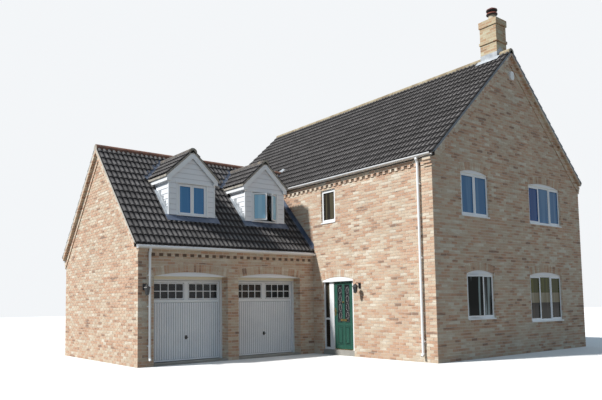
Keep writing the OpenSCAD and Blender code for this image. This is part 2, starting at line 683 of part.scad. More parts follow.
// Two rollers in the channels, each with the pin that the door turns on
module garage_pins(x) for (side = [0, 1])
    translate([x + side * garage_opening_w, pin_y, garage_pin_z]) mirror([side, 0, 0])
        translate([garage_frame_bar - clearance, 0, 0]) rotate([0, 90, 0]) {
            translate([0, 0, -roller_w]) cylinder(r = channel / 2 - gap, h = roller_w, $fn = 48);
            cylinder(r = pin_radius, h = 2 * clearance - gap, $fn = 32);
        }
module garage_left_pins() color("silver") placed() garage_pins(garage_left_x);
module garage_right_pins() color("silver") placed() garage_pins(garage_right_x);

garage_light_w = 875;
garage_light_h = 400;
garage_top_rail = 103;
garage_middle_rail = 160;
garage_light_z = garage_leaf_h - garage_top_rail - garage_light_h;
garage_light_x = [(garage_leaf_w - garage_middle_rail) / 2 - garage_light_w,
    (garage_leaf_w + garage_middle_rail) / 2];
module on_garage_leaf(x) translate([x + garage_frame_bar + clearance, garage_leaf_y, garage_leaf_z]) children();
module garage_leaf(x) on_garage_leaf(x) {
    difference() {
        cube([garage_leaf_w, garage_leaf_depth, garage_leaf_h]);
        for (lx = garage_light_x) translate([lx, -1, garage_light_z])
            cube([garage_light_w, garage_leaf_depth + 2, garage_light_h]);
    }
}
module garage_panes(x) on_garage_leaf(x) for (lx = garage_light_x)
    translate([lx + gap, 16, garage_light_z + gap])
        cube([garage_light_w - 2 * gap, 6, garage_light_h - 2 * gap]);
module garage_left_door() color("white") placed() garage_leaf(garage_left_x);
module garage_right_door() color("white") placed() garage_leaf(garage_right_x);
module garage_left_glass() color("lightblue") placed() garage_panes(garage_left_x);
module garage_right_glass() color("lightblue") placed() garage_panes(garage_right_x);

// Rainwater goods

// Half-round channel with its board, u runs inwards from the wall face
module gutter_section(rim, board_top) {
    difference() {
        translate([-gutter_x, rim]) circle(r = gutter_radius, $fn = 48);
        translate([-gutter_x, rim]) circle(r = gutter_radius - 3, $fn = 48);
        translate([-gutter_x - gutter_radius - 1, rim]) square([2 * gutter_radius + 2, gutter_radius + 1]);
    }
    translate([-board_u, rim - gutter_radius]) square([fascia, board_top - rim + gutter_radius]);
    // Brackets' line, where the channel hangs on the board
    translate([-board_u - 2, rim - gutter_radius / 2]) square([3, gutter_radius / 2]);
}
module gutters() color("white") placed() {
    difference() {
        along_y(-verge_out / 2, main_length + verge_out / 2) gutter_section(main_rim, main_board_top);
        wing_body();
    }
    translate([main_width, 0, 0]) mirror([1, 0, 0])
        along_y(-verge_out / 2, main_length + verge_out / 2) gutter_section(main_rim, main_board_top);
    along_x(-wing_length - verge_out / 2, 0) translate([wing_y, 0]) gutter_section(wing_rim, wing_board_top);
    along_x(-wing_length - verge_out / 2, 0) translate([wing_rear, 0]) mirror([1, 0]) gutter_section(wing_rim, wing_board_top);
}
pipe_y = 400;
pipe_x = 280;
bend = 5;
pipe_u = corbel + pipe_radius + bend + gap;
clip_h = 30;
foot_z = 210;
module rod(from, to, radius) {
    run = to - from;
    length = norm(run);
    translate(from) rotate([0, acos(run[2] / length), atan2(run[1], run[0])])
        cylinder(r = radius, h = length, $fn = 32);
}
// Pipe from the gutter's outlet to its foot, drawn against a wall whose face is at y = 0
module downpipe(rim) {
    outlet = rim - gutter_radius + 20;
    route = [[0, -gutter_x, outlet], [0, -gutter_x, outlet - 60], [0, -pipe_u, outlet - 140],
        [0, -pipe_u, foot_z], [0, -pipe_u - 45, foot_z - 60]];
    // Its top is cut to the gutter's round underside
    difference() {
        rod(route[0], route[1], pipe_radius);
        translate([-2 * pipe_radius, -gutter_x, rim]) rotate([0, 90, 0])
            cylinder(r = gutter_radius + gap, h = 4 * pipe_radius, $fn = 48);
    }
    for (k = [1:len(route) - 2]) rod(route[k], route[k + 1], pipe_radius);
    // Bends, a little wider than the pipe, and the clips that hold it to the wall
    for (k = [1:len(route) - 2]) translate(route[k]) sphere(r = pipe_radius + bend, $fn = 32);
    for (z = [outlet - 700, outlet / 2, 500])
        translate([-pipe_radius - 12, -pipe_u, z]) cube([2 * pipe_radius + 24, pipe_u, clip_h]);
}
module downpipes() color("white") placed() {
    translate([0, pipe_y, 0]) rotate([0, 0, -90]) downpipe(main_rim);
    translate([-wing_length + pipe_x, wing_y, 0]) downpipe(wing_rim);
}

// Corbelled brickwork

kneeler_l = 225;
wing_band_top = min(wing_wall_top, wing_rim - gutter_radius);
dentil_w = dentil_pitch / 2 - 8;
band_low_main = main_wall_top - course * 1.25;
band_low_wing = wing_band_top - course * 1.25;
// Oversailing band on its dentils along a wall of the given length, drawn along X at y = 0
module dentil_band(from, to, top, low) {
    box([from, -corbel, low], [to, 0, top]);
    for (x = [from : dentil_pitch : to - dentil_w])
        box([x, -corbel, low - course], [x + dentil_w, 0, low + 1]);
}
module eaves_brickwork() color("tan") placed() {
    difference() {
        rotate([0, 0, 90]) mirror([0, 1, 0])
            dentil_band(kneeler_l, main_length - kneeler_l, main_wall_top, band_low_main);
        wing_body();
    }
    translate([main_width, 0, 0]) rotate([0, 0, 90])
        dentil_band(kneeler_l, main_length - kneeler_l, main_wall_top, band_low_main);
    translate([-wing_length, wing_y, 0])
        dentil_band(kneeler_l, wing_length, wing_band_top, band_low_wing);
    translate([-wing_length, wing_rear, 0]) mirror([0, 1, 0])
        dentil_band(kneeler_l, wing_length, wing_band_top, band_low_wing);
}
verge_band = 225;
// A chevron of one header course under the verge, standing out from the gable face
module verge_chevron(span, wall_top, slope) difference() {
    polygon([[0, wall_top - verge_band], [0, wall_top], [span / 2, wall_top + span / 2 * slope],
        [span, wall_top], [span, wall_top - verge_band]]);
    polygon([[-1, wall_top - verge_band - slope - 0.01], [span / 2, wall_top - verge_band + span / 2 * slope],
        [span + 1, wall_top - verge_band - slope - 0.01], [span + 1, wall_top - 2 * verge_band - span],
        [-1, wall_top - 2 * verge_band - span]]);
}
// Three courses that step out under the end of an eaves, drawn along Y at x = 0
module kneeler(top) for (step = [1:3])
    box([-corbel * step, -corbel, top - course * (4 - step)], [0, kneeler_l, top - course * (3 - step)]);
module both_ends(length) { children(); translate([0, length, 0]) mirror([0, 1, 0]) children(); }
module verge_brickwork() color("tan") placed() {
    along_y(-corbel, 0) verge_chevron(main_width, main_wall_top, slope_main);
    along_y(main_length, main_length + corbel) verge_chevron(main_width, main_wall_top, slope_main);
    along_x(-wing_length - corbel, -wing_length) translate([wing_y, 0])
        verge_chevron(wing_depth, wing_wall_top, slope_wing);
    both_ends(main_length) kneeler(main_wall_top);
    translate([main_width, 0, 0]) mirror([1, 0, 0]) both_ends(main_length) kneeler(main_wall_top);
    translate([-wing_length, wing_y, 0]) both_ends(wing_depth)
        mirror([1, -1, 0]) kneeler(wing_band_top);
}

// Chimney

stack_top = main_apex + stack_rise;
module chimney_stack() color("tan") placed() difference() {
    union() {
        box([stack_x, stack_y, main_eaves], [stack_x + stack_w, stack_y + stack_l, stack_top]);
        for (band = [[stack_top - 190, stack_top], [stack_top - 710, stack_top - 633]])
            box([stack_x - 25, stack_y - 25, band[0]],
                [stack_x + stack_w + 25, stack_y + stack_l + 25, band[1]]);
    }
    main_body();
}
module chimney_pot() color("chocolate") placed()
    translate([stack_x + stack_w / 2, stack_y + stack_l / 2, stack_top]) rotate_extrude($fn = 48)
        difference() {
            polygon([[0, 0], [150, 0], [150, 30], [118, 60], [108, 210], [165, 225], [165, 275],
                [120, 285], [120, 330], [165, 345], [165, 400], [60, 440], [0, 440]]);
            translate([-1, -1]) square([80, 200]);
        }

// Fittings on the walls

module lantern() {
    // Wall plate, arm and the six-sided lamp that hangs from it
    translate([-35, -12, -60]) cube([70, 12, 160]);
    translate([-8, -190, 70]) cube([16, 180, 16]);
    translate([0, -180, -190]) rotate_extrude($fn = 24)
        polygon([[0, 0], [45, 10], [75, 190], [90, 200], [20, 260], [0, 262]]);
}
lantern_y = 2640;
lantern_z = 1950;
module lanterns() color("black") placed() {
    translate([0, lantern_y, lantern_z]) rotate([0, 0, -90]) lantern();
    translate([-wing_length + 160, wing_y, lantern_z]) lantern();
}
alarm_at = [main_half + 45, main_apex - 738];
alarm_half = [90, 125];
alarm_corner = [36, 58];
alarm_depth = 70;
module alarm_box() color("whitesmoke") placed() along_y(-alarm_depth, 0) translate(alarm_at) polygon([
    for (side = [[1, -1, 0], [1, 1, 1], [-1, 1, 0], [-1, -1, 1]], end = [0, 1])
        [side[0] * (alarm_half[0] - (end == side[2] ? alarm_corner[0] : 0)),
         side[1] * (alarm_half[1] - (end == side[2] ? 0 : alarm_corner[1]))]]);

ground_floor();
first_floor();
front_gable_wall();
rear_gable_wall();
entrance_wall_near();
entrance_wall_far();
entrance_wall_upper();
east_wall();
garage_gable_wall();
garage_piers();
garage_door_band();
garage_rear_wall();
main_roof_west();
main_roof_east();
garage_roof_front();
garage_roof_rear();
ridge_tiles();
dormer_fronts();
dormer_cheeks();
dormer_roofs();
barge_boards();
front_window_frames();
plain_window_frames();
dormer_window_frames();
window_glass();
arch_infills();
door_frame();
front_door();
front_door_glass();
front_door_furniture();
garage_door_frames();
garage_left_pins();
garage_left_door();
garage_left_glass();
garage_right_pins();
garage_right_door();
garage_right_glass();
gutters();
downpipes();
eaves_brickwork();
verge_brickwork();
chimney_stack();
chimney_pot();
lanterns();
alarm_box();
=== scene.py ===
import math

import bmesh
import bpy
from mathutils import Matrix, Vector


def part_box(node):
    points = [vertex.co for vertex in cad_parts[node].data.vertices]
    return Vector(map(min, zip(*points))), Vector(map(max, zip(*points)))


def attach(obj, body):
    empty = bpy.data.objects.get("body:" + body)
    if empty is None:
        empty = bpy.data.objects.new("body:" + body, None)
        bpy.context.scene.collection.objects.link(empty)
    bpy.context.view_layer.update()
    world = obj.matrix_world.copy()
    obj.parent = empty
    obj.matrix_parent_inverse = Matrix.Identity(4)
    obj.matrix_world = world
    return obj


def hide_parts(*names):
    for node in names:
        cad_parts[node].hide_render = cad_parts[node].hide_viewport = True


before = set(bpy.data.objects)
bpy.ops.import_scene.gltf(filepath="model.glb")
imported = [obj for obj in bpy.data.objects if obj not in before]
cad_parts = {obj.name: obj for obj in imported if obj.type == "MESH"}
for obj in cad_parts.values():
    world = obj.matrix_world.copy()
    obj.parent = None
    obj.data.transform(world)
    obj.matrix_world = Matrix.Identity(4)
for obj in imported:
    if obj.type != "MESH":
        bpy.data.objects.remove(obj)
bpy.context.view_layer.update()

# Studio: a pale floor and backdrop, a broad key lamp high on the entrance side, and even light from all
# round. The camera stands where the photograph was taken, by the near corner of the main block.
scene = bpy.context.scene
scene.view_settings.view_transform = "Standard"
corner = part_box("front_gable_wall")[0]
east, north, upright = Vector((1, 0, 0)), Vector((0, 1, 0)), Vector((0, 0, 1))


def put(tree, kind, inputs=(), **settings):
    # Adds a node: a socket among its inputs is linked, and any other value is set
    made = tree.nodes.new(kind)
    for key, value in settings.items():
        setattr(made, key, value)
    for key, value in dict(inputs).items():
        if isinstance(value, bpy.types.NodeSocket):
            tree.links.new(value, made.inputs[key])
        else:
            made.inputs[key].default_value = value
    return made


def calc(tree, operation, *values):
    return put(tree, "ShaderNodeMath", enumerate(values), operation=operation).outputs[0]


def tint(tree, colour, factor):
    return put(tree, "ShaderNodeVectorMath", {0: colour, 1: factor}, operation="MULTIPLY").outputs[0]


def blend(tree, factor, below, above):
    below, above = ((*colour, 1) if isinstance(colour, tuple) else colour for colour in (below, above))
    return put(tree, "ShaderNodeMix", {0: factor, 6: below, 7: above}, data_type="RGBA").outputs[2]


def beyond(tree, value, limit, below, above):
    # One colour up to a limit and another past it
    return blend(tree, calc(tree, "GREATER_THAN", value, limit), below, above)


def seen(tree):
    # 1 for rays that meet the eye, straight or by way of glass, and 0 for those that only carry light
    rays = put(tree, "ShaderNodeLightPath").outputs
    direct = calc(tree, "MAXIMUM", rays["Is Camera Ray"], rays["Is Glossy Ray"])
    return calc(tree, "MAXIMUM", direct, rays["Is Transmission Ray"])


def finish(name, base, roughness, metallic=0.0):
    material = bpy.data.materials.new(name)
    material.use_nodes = True
    shader = material.node_tree.nodes["Principled BSDF"]
    shader.inputs["Base Color"].default_value = (*base, 1)
    shader.inputs["Roughness"].default_value = roughness
    shader.inputs["Metallic"].default_value = metallic
    return material, material.node_tree, shader


def mesh_object(name, points, faces):
    mesh = bpy.data.meshes.new(name)
    mesh.from_pydata([tuple(p) for p in points], [], faces)
    mesh.update()
    made = bpy.data.objects.new(name, mesh)
    scene.collection.objects.link(made)
    return made


camera = bpy.data.objects.new("camera", bpy.data.cameras.new("camera"))
scene.collection.objects.link(camera)
scene.camera = camera
yaw, pitch, roll = math.radians(38.70), math.radians(4.657), math.radians(-0.950)
ahead = Vector((math.sin(yaw) * math.cos(pitch), math.cos(yaw) * math.cos(pitch), math.sin(pitch)))
level = Vector((math.cos(yaw), -math.sin(yaw), 0))
right = level * math.cos(roll) + level.cross(ahead) * math.sin(roll)
turn = Matrix((right, right.cross(ahead), -ahead)).transposed().to_4x4()
camera.matrix_world = Matrix.Translation(corner + Vector((-11.865, -9.580, 1.503))) @ turn
camera.data.lens = 36.5
camera.data.shift_y = 0.089
camera.data.clip_end = 500

key = bpy.data.objects.new("key", bpy.data.lights.new("key", "SUN"))
scene.collection.objects.link(key)
key.data.energy = 5.0
key.data.angle = math.radians(4)
key.data.color = (1, 0.97, 0.92)
key.rotation_euler = Vector((0.646, -0.221, -0.730)).to_track_quat("-Z", "Y").to_euler()

world = bpy.data.worlds.new("studio")
scene.world = world
world.use_nodes = True
studio = world.node_tree
studio.nodes.clear()
even = put(studio, "ShaderNodeBackground", {"Color": (0.57, 0.79, 1, 1), "Strength": 0.43})
pale = put(studio, "ShaderNodeBackground", {"Color": (0.90, 0.92, 0.94, 1), "Strength": 1})
mixed = put(studio, "ShaderNodeMixShader", {0: seen(studio), 1: even.outputs[0], 2: pale.outputs[0]})
put(studio, "ShaderNodeOutputWorld", {"Surface": mixed.outputs[0]})

# The floor is pale to the camera, and throws little light up at the walls
floor = mesh_object("floor", [(-90, -90, 0), (90, -90, 0), (90, 90, 0), (-90, 90, 0)], [(0, 1, 2, 3)])
floor_paint, tree, shader = finish("studio_floor", (0.86, 0.86, 0.86), 0.9)
shown = blend(tree, seen(tree), (0.15, 0.125, 0.09), (0.86, 0.86, 0.86))
tree.links.new(shown, shader.inputs["Base Color"])
floor.data.materials.append(floor_paint)

# Outer walls: mixed buff and peach bricks, 215 by 65 mm, in stretcher bond with pale mortar, each laid as
# its own raised face over the mortar that the wall node shows. Their sizes repeat the drawing's, in metres.
main_w, main_l, course, wall = 7.25, 11.07, 0.077, 0.300
wing_l, wing_d, wing_y = 5.61, 5.448, 4.662
main_pitch, wing_pitch, roof_depth, roof_gap = math.radians(43.4), math.radians(47.1), 0.120, 0.0003
main_slope, wing_slope = math.tan(main_pitch), math.tan(wing_pitch)
main_eaves, wing_eaves = 5.255, 3.135
main_top = main_eaves - roof_depth / math.cos(main_pitch) - roof_gap
wing_top = wing_eaves - roof_depth / math.cos(wing_pitch) - roof_gap
main_half, wing_half = main_w / 2, wing_d / 2
wing_mid = wing_y + wing_half
main_apex, wing_apex = main_eaves + main_half * main_slope, wing_eaves + wing_half * wing_slope
band_top_wing, verge_band = 2.9267, 0.225

# Openings as their left side, width, foot and head, seen from outside
up_low, up_head, down_low, down_head = 3.690, 4.850, 1.000, 2.200
narrow_w, wide_w = 1.208, 1.756
windows = [(1.147, narrow_w, up_low, up_head), (4.342, wide_w, up_low, up_head),
           (1.247, narrow_w, down_low, down_head), (4.216, wide_w, 0.850, down_head)]
east_windows = [(main_l * (bay + 0.5) / 3 - narrow_w / 2, narrow_w, low, head)
                for bay in range(3) for low, head in ((up_low, up_head), (down_low, down_head))]
doorway = (2.910, 1.317, 0.0, 2.157)
small_window = (3.600, 0.627, 3.849, 4.850)
garage_doorways = [(0.416, 2.168, 0.0, 2.248), (2.924, 2.168, 0.0, 2.248)]
window_rise, garage_rise, door_rise = 0.095, 0.112, 0.090
brick_proud, least_brick = 0.006, 0.0008


def rectangle(u0, u1, z0, z1):
    return [(u0, z0), (u1, z0), (u1, z1), (u0, z1)]


def cut(outline, point, normal):
    # The part of a convex outline that lies behind a line
    kept = []
    for a, b in zip(outline, outline[1:] + outline[:1]):
        da, db = ((p[0] - point[0]) * normal[0] + (p[1] - point[1]) * normal[1] for p in (a, b))
        if da <= 0:
            kept.append(a)
        if da * db < 0:
            t = da / (da - db)
            kept.append((a[0] + t * (b[0] - a[0]), a[1] + t * (b[1] - a[1])))
    return kept


def area(outline):
    return sum(a[0] * b[1] - b[0] * a[1] for a, b in zip(outline, outline[1:] + outline[:1])) / 2


def cut_round(outline, opening):
    # A brick beside an opening is cut along the one side that leaves most of it
    parts = [cut(outline, a, (a[1] - b[1], b[0] - a[0])) for a, b in zip(opening, opening[1:] + opening[:1])]
    return max(parts, key=area)


def arch(x, w, head, rise, ring=0.215, joint=0.009):
    # Bricks on edge over a segmental head, and the outline that the courses are cut to
    radius = (w * w / 4 + rise * rise) / (2 * rise)
    half = math.asin(w / 2 / radius)
    mid, low = x + w / 2, head + rise - radius
    count = round(2 * half * (radius + ring / 2) / course)
    gap, inner, outer = joint / 2 / radius, radius + 0.003, radius + ring
    bricks, outline = [], [(x, head), (x + w, head)]
    for k in range(count):
        a, b = (half * (1 - 2 * (k + side) / count) for side in (1, 0))
        corners = ((inner, a + gap), (inner, b - gap), (outer, b - gap), (outer, a + gap))
        bricks.append([(mid + r * math.sin(t), low + r * math.cos(t)) for r, t in corners])
    for k in range(count + 1):
        t = half * (1 - 2 * k / count)
        outline.append((mid + (outer + joint) * math.sin(t), low + (outer + joint) * math.cos(t)))
    return bricks, outline


def lay_bricks(length, low, high, lines=(), openings=(), arches=(), overrun=0.0, joint=0.010):
    # Every brick of a wall as a flat outline: u along the wall, z up
    unit = 2 * length / max(1, round(length / 0.1125))
    bricks, holes = [], [rectangle(u, u + w, z0, z1) for u, w, z0, z1 in openings]
    for opening in arches:
        ring, outline = arch(*opening)
        bricks += ring
        holes.append(outline)
    row = int(low / course)
    while row * course < high - 0.02:
        z0, z1 = max(row * course, low) + joint / 2, min((row + 1) * course, high) - joint / 2
        u = -unit / 2 * (row % 2)
        while u < length - 0.01:
            u0 = max(u, 0) + joint / 2 if u > 0 else -overrun
            u1 = min(u + unit, length) - joint / 2 if u + unit < length - 0.001 else length + overrun
            brick = rectangle(u0, u1, z0, z1)
            for point, normal in lines:
                brick = brick and cut(brick, point, normal)
            for hole in holes:
                brick = brick and cut_round(brick, hole)
            if brick and area(brick) > least_brick:
                bricks.append(brick)
            u += unit
        row += 1
    return bricks


def new_tree(name, sizes):
    # A geometry tree with named sizes and a material
    tree = bpy.data.node_groups.new(name, "GeometryNodeTree")
    sockets = {"Geometry": "Geometry", **sizes, "Material": "Material"}
    for label, kind in sockets.items():
        tree.interface.new_socket(label, in_out="INPUT", socket_type="NodeSocket" + kind)
    tree.interface.new_socket("Geometry", in_out="OUTPUT", socket_type="NodeSocketGeometry")
    return tree, put(tree, "NodeGroupInput").outputs


def store_tone(tree, shape, seed, domain):
    # A random tone from 0 to 1 for each brick or tile
    pick = put(tree, "FunctionNodeRandomValue", {"Seed": seed}, data_type="FLOAT")
    return put(tree, "GeometryNodeStoreNamedAttribute",
               {"Geometry": shape, "Name": "tone", "Value": pick.outputs[1]},
               data_type="FLOAT", domain=domain).outputs[0]


def close_tree(tree, given, shape):
    real = put(tree, "GeometryNodeRealizeInstances", {"Geometry": shape}).outputs[0]
    faced = put(tree, "GeometryNodeSetMaterial", {"Geometry": real, "Material": given["Material"]})
    put(tree, "NodeGroupOutput", {0: faced.outputs[0]})


def grow(carrier, tree, sizes):
    # Runs a tree on its carrier and leaves a plain mesh in the carrier's place
    modifier = carrier.modifiers.new("tree", "NODES")
    modifier.node_group = tree
    for item in tree.interface.items_tree:
        if item.in_out == "INPUT" and item.name in sizes:
            modifier[item.identifier] = sizes[item.name]
    bpy.context.view_layer.update()
    depsgraph = bpy.context.evaluated_depsgraph_get()
    mesh = bpy.data.meshes.new_from_object(carrier.evaluated_get(depsgraph), depsgraph=depsgraph)
    carrier.modifiers.remove(modifier)
    old = carrier.data
    carrier.data = mesh
    bpy.data.meshes.remove(old)
    return carrier


brick_tree, given = new_tree("brick_faces", {"Depth": "Float", "Face": "Float", "Seed": "Int"})
toned = store_tone(brick_tree, given["Geometry"], given["Seed"], "FACE")
raised = put(brick_tree, "GeometryNodeExtrudeMesh",
             {"Mesh": toned, "Offset Scale": given["Depth"], "Individual": True}, mode="FACES").outputs
pillow = put(brick_tree, "GeometryNodeScaleElements",
             {"Geometry": raised["Mesh"], "Selection": raised["Top"], "Scale": given["Face"]}, domain="FACE")
close_tree(brick_tree, given, pillow.outputs[0])


def effect(name, inputs, outputs):
    # A shader node group with named inputs and outputs
    tree = bpy.data.node_groups.new(name, "ShaderNodeTree")
    for in_out, sockets in (("INPUT", inputs), ("OUTPUT", outputs)):
        for label, kind in sockets.items():
            tree.interface.new_socket(label, in_out=in_out, socket_type="NodeSocket" + kind)
    return tree, put(tree, "NodeGroupInput").outputs


def use(tree, group, inputs=()):
    return put(tree, "ShaderNodeGroup", inputs, node_tree=group).outputs


def ramp(tree, factor, stops):
    made = put(tree, "ShaderNodeValToRGB", {"Fac": factor})
    while len(made.color_ramp.elements) < len(stops):
        made.color_ramp.elements.new(1)
    for element, (place, colour) in zip(made.color_ramp.elements, stops):
        element.position = place
        element.color = (*colour, 1)
    return made.outputs[0]


def place_of(tree):
    return put(tree, "ShaderNodeTexCoord").outputs["Object"]


def split(tree, vector):
    return put(tree, "ShaderNodeSeparateXYZ", {0: vector}).outputs


def facing(tree):
    return split(tree, put(tree, "ShaderNodeNewGeometry").outputs["Normal"])


def faces_along(tree, axis, limit=0.5):
    # 1 on the faces that look either way along an axis
    return calc(tree, "GREATER_THAN", calc(tree, "ABSOLUTE", facing(tree)[axis]), limit)


def fraction(tree, axis, low, high):
    # From 0 at one place along an axis to 1 at another
    return put(tree, "ShaderNodeMapRange", {"Value": split(tree, place_of(tree))[axis], "From Min": low,
                                            "From Max": high}).outputs[0]


def noise(tree, scale, detail, roughness=0.5, stretch=None, vector=None):
    if vector is None:
        vector = place_of(tree)
    if stretch:
        vector = put(tree, "ShaderNodeMapping", {"Vector": vector, "Scale": stretch}).outputs[0]
    return put(tree, "ShaderNodeTexNoise", {"Vector": vector, "Scale": scale, "Detail": detail,
                                            "Roughness": roughness}).outputs[0]


# Sand-faced grain and broad stains, shared by all the finishes
grain, given = effect("grain", {"Vector": "Vector", "Fine Scale": "Float", "Broad Scale": "Float",
                                "Fine": "Float", "Broad": "Float"}, {"Shade": "Float", "Height": "Float"})
fine = noise(grain, given["Fine Scale"], 3.0, vector=given[0])
broad = noise(grain, given["Broad Scale"], 4.0, vector=given[0])
specks = calc(grain, "MULTIPLY", calc(grain, "SUBTRACT", fine, 0.5), given["Fine"])
stains = calc(grain, "MULTIPLY", calc(grain, "SUBTRACT", broad, 0.5), given["Broad"])
shade = calc(grain, "ADD", calc(grain, "ADD", specks, stains), 1.0)
put(grain, "NodeGroupOutput", {0: shade, 1: fine})

# Brick colours from brown and peach to buff and cream, a few dark, in streaks along the courses
brick_colour, given = effect("brick_colour", {"Tone": "Float"}, {"Color": "Color"})
patch = noise(brick_colour, 1.0, 3.0, stretch=(1.7, 1.7, 14.0))
shift = calc(brick_colour, "MULTIPLY_ADD", patch, 1.5, -0.64)
tone = calc(brick_colour, "MULTIPLY_ADD", given[0], 0.80, shift)
put(brick_colour, "NodeGroupOutput", {0: ramp(brick_colour, tone, [
    (0.00, (0.29, 0.195, 0.145)), (0.05, (0.400, 0.255, 0.180)), (0.18, (0.540, 0.335, 0.230)),
    (0.42, (0.570, 0.400, 0.290)), (0.66, (0.585, 0.470, 0.355)), (0.86, (0.630, 0.535, 0.425)),
    (1.00, (0.700, 0.635, 0.535))])})
mortar_colour = (0.68, 0.63, 0.56)


def grained(tree, shader, colour, fine=0.3, broad=0.25, fine_scale=90.0, broad_scale=1.3, bump=0.002):
    # Multiplies a colour by the grain and raises a matching bump
    shade, height = use(tree, grain, {"Vector": place_of(tree), "Fine": fine, "Broad": broad,
                                      "Fine Scale": fine_scale, "Broad Scale": broad_scale})
    tree.links.new(tint(tree, colour, shade), shader.inputs["Base Color"])
    bumped = put(tree, "ShaderNodeBump", {"Height": height, "Distance": bump, "Strength": 0.6})
    tree.links.new(bumped.outputs[0], shader.inputs["Normal"])


def tone_of(tree, label="tone"):
    return put(tree, "ShaderNodeAttribute", attribute_name=label).outputs["Fac"]


brick, tree, shader = finish("brick_faces", (0.55, 0.40, 0.28), 0.85)
grained(tree, shader, use(tree, brick_colour, {"Tone": tone_of(tree)})[0], fine=0.55, broad=0.35)

# A pattern of bricks and joints for the sides and returns that carry no laid bricks
brick_cells = effect("brick_cells", {}, {"Color": "Color"})[0]
place = split(brick_cells, place_of(brick_cells))
run = put(brick_cells, "ShaderNodeMix", {0: faces_along(brick_cells, 0), 2: place[0], 3: place[1]},
          data_type="FLOAT")
flat = put(brick_cells, "ShaderNodeCombineXYZ", {0: run.outputs[0], 1: place[2]})
cells = put(brick_cells, "ShaderNodeTexBrick", {
    "Vector": flat.outputs[0], "Color1": (0, 0, 0, 1), "Color2": (1, 1, 1, 1), "Mortar": (0.5, 0.5, 0.5, 1),
    "Scale": 1.0, "Mortar Size": 0.005, "Mortar Smooth": 0.1, "Brick Width": 0.225, "Row Height": course})
tinted = use(brick_cells, brick_colour, {"Tone": cells.outputs[0]})[0]
put(brick_cells, "NodeGroupOutput", {0: blend(brick_cells, cells.outputs[1], tinted, mortar_colour)})


def mortar_wall(name, normal_axis):
    # Mortar on the wall's own faces, bricks on its returns
    material, tree, shader = finish(name, mortar_colour, 0.95)
    colour = blend(tree, faces_along(tree, normal_axis), use(tree, brick_cells)[0], mortar_colour)
    grained(tree, shader, colour, fine=0.35, broad=0.2)
    return material


def dress(material, *names):
    for name in names:
        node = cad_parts[name]
        if not node.material_slots:
            node.data.materials.append(material)
        for slot in node.material_slots:
            slot.material = material


dress(mortar_wall("mortar_front", 1), "front_gable_wall", "rear_gable_wall", "garage_piers",
      "garage_door_band", "garage_rear_wall")
dress(mortar_wall("mortar_side", 0), "entrance_wall_near", "entrance_wall_far", "entrance_wall_upper",
      "east_wall", "garage_gable_wall")


def lay_wall(name, start, along, bricks, seed):
    # The bricks of one wall face as one piece
    start = corner + Vector(start)
    points, faces = [], []
    for outline in bricks:
        faces.append(range(len(points), len(points) + len(outline)))
        points += [start + along * u + upright * z for u, z in outline]
    made = grow(mesh_object(name, points, faces), brick_tree,
                {"Depth": brick_proud, "Face": 0.97, "Seed": seed, "Material": brick})
    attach(made, "house")


def gable_lines(width, top, slope):
    # The two lines under the verge bands that a gable's courses are cut to
    return [((0, top - verge_band), (-slope, 1)), ((width, top - verge_band), (slope, 1))]


def arches_over(openings, rise):
    return [(u, w, head, rise) for u, w, low, head in openings]


over_ridge, floor_top = 9, 0.05
band_main, band_wing = main_top - 1.25 * course, band_top_wing - 1.25 * course
door_u = main_l - doorway[0] - doorway[1]
small_u = main_l - small_window[0] - small_window[1]
wing_u = main_l - wing_y - wing_d
bricks = lay_bricks(main_w, 0, over_ridge, gable_lines(main_w, main_top, main_slope), windows,
                    arches_over(windows, window_rise), brick_proud)
lay_wall("gable_bricks", (0, 0, 0), east, bricks, 1)
lay_wall("rear_gable_bricks", (main_w, main_l, 0), -east, bricks, 2)
bricks = lay_bricks(main_l, 0, band_main, (), [(door_u, *doorway[1:]), (small_u, *small_window[1:])],
                    [(door_u, doorway[1], doorway[3], door_rise)])
wing_outline = [(wing_u, -1), (wing_u + wing_d, -1), (wing_u + wing_d, wing_eaves),
                (wing_u + wing_half, wing_apex), (wing_u, wing_eaves)]
bricks = [cut_round(outline, wing_outline) for outline in bricks]
lay_wall("entrance_bricks", (0, main_l, 0), -north, [part for part in bricks if area(part) > least_brick], 3)
lay_wall("plain_side_bricks", (main_w, 0, 0), north,
         lay_bricks(main_l, 0, band_main, (), east_windows, arches_over(east_windows, window_rise)), 4)
lay_wall("garage_front_bricks", (-wing_l, wing_y, 0), east,
         lay_bricks(wing_l, 0, band_wing, (), garage_doorways, arches_over(garage_doorways, garage_rise),
                    brick_proud), 5)
lay_wall("garage_rear_bricks", (0, wing_y + wing_d, 0), -east, lay_bricks(wing_l, 0, band_wing), 6)
lay_wall("garage_gable_bricks", (-wing_l, wing_y + wing_d, 0), -north,
         lay_bricks(wing_d, 0, over_ridge, gable_lines(wing_d, wing_top, wing_slope)), 7)
for k, (x, w, low, head) in enumerate(garage_doorways):
    bricks = lay_bricks(wall, floor_top, head)
    lay_wall(f"garage_return_left_{k}", (x - wing_l, wing_y, 0), north, bricks, 8 + k)
    lay_wall(f"garage_return_right_{k}", (x + w - wing_l, wing_y + wall, 0), -north, bricks, 10 + k)

# Corbelled brickwork and chimney stack: the same bricks, seen on all their sides, so the pattern is in the
# finish. A near-black sheet 1.5 mm in front of the laid bricks' plane paints shade between the dentils.


def outwards(made):
    # Turns the faces of closed shells outwards
    mesh = bmesh.new()
    mesh.from_mesh(made.data)
    bmesh.ops.recalc_face_normals(mesh, faces=mesh.faces[:])
    mesh.to_mesh(made.data)
    mesh.free()


def piece(name, points, faces, material, slot, body="house", closed=True):
    # One visible piece, with its finish and the body that it rides. The slot is not used.
    made = mesh_object(name, points, faces)
    if closed:
        outwards(made)
    made.data.materials.append(material)
    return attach(made, body)


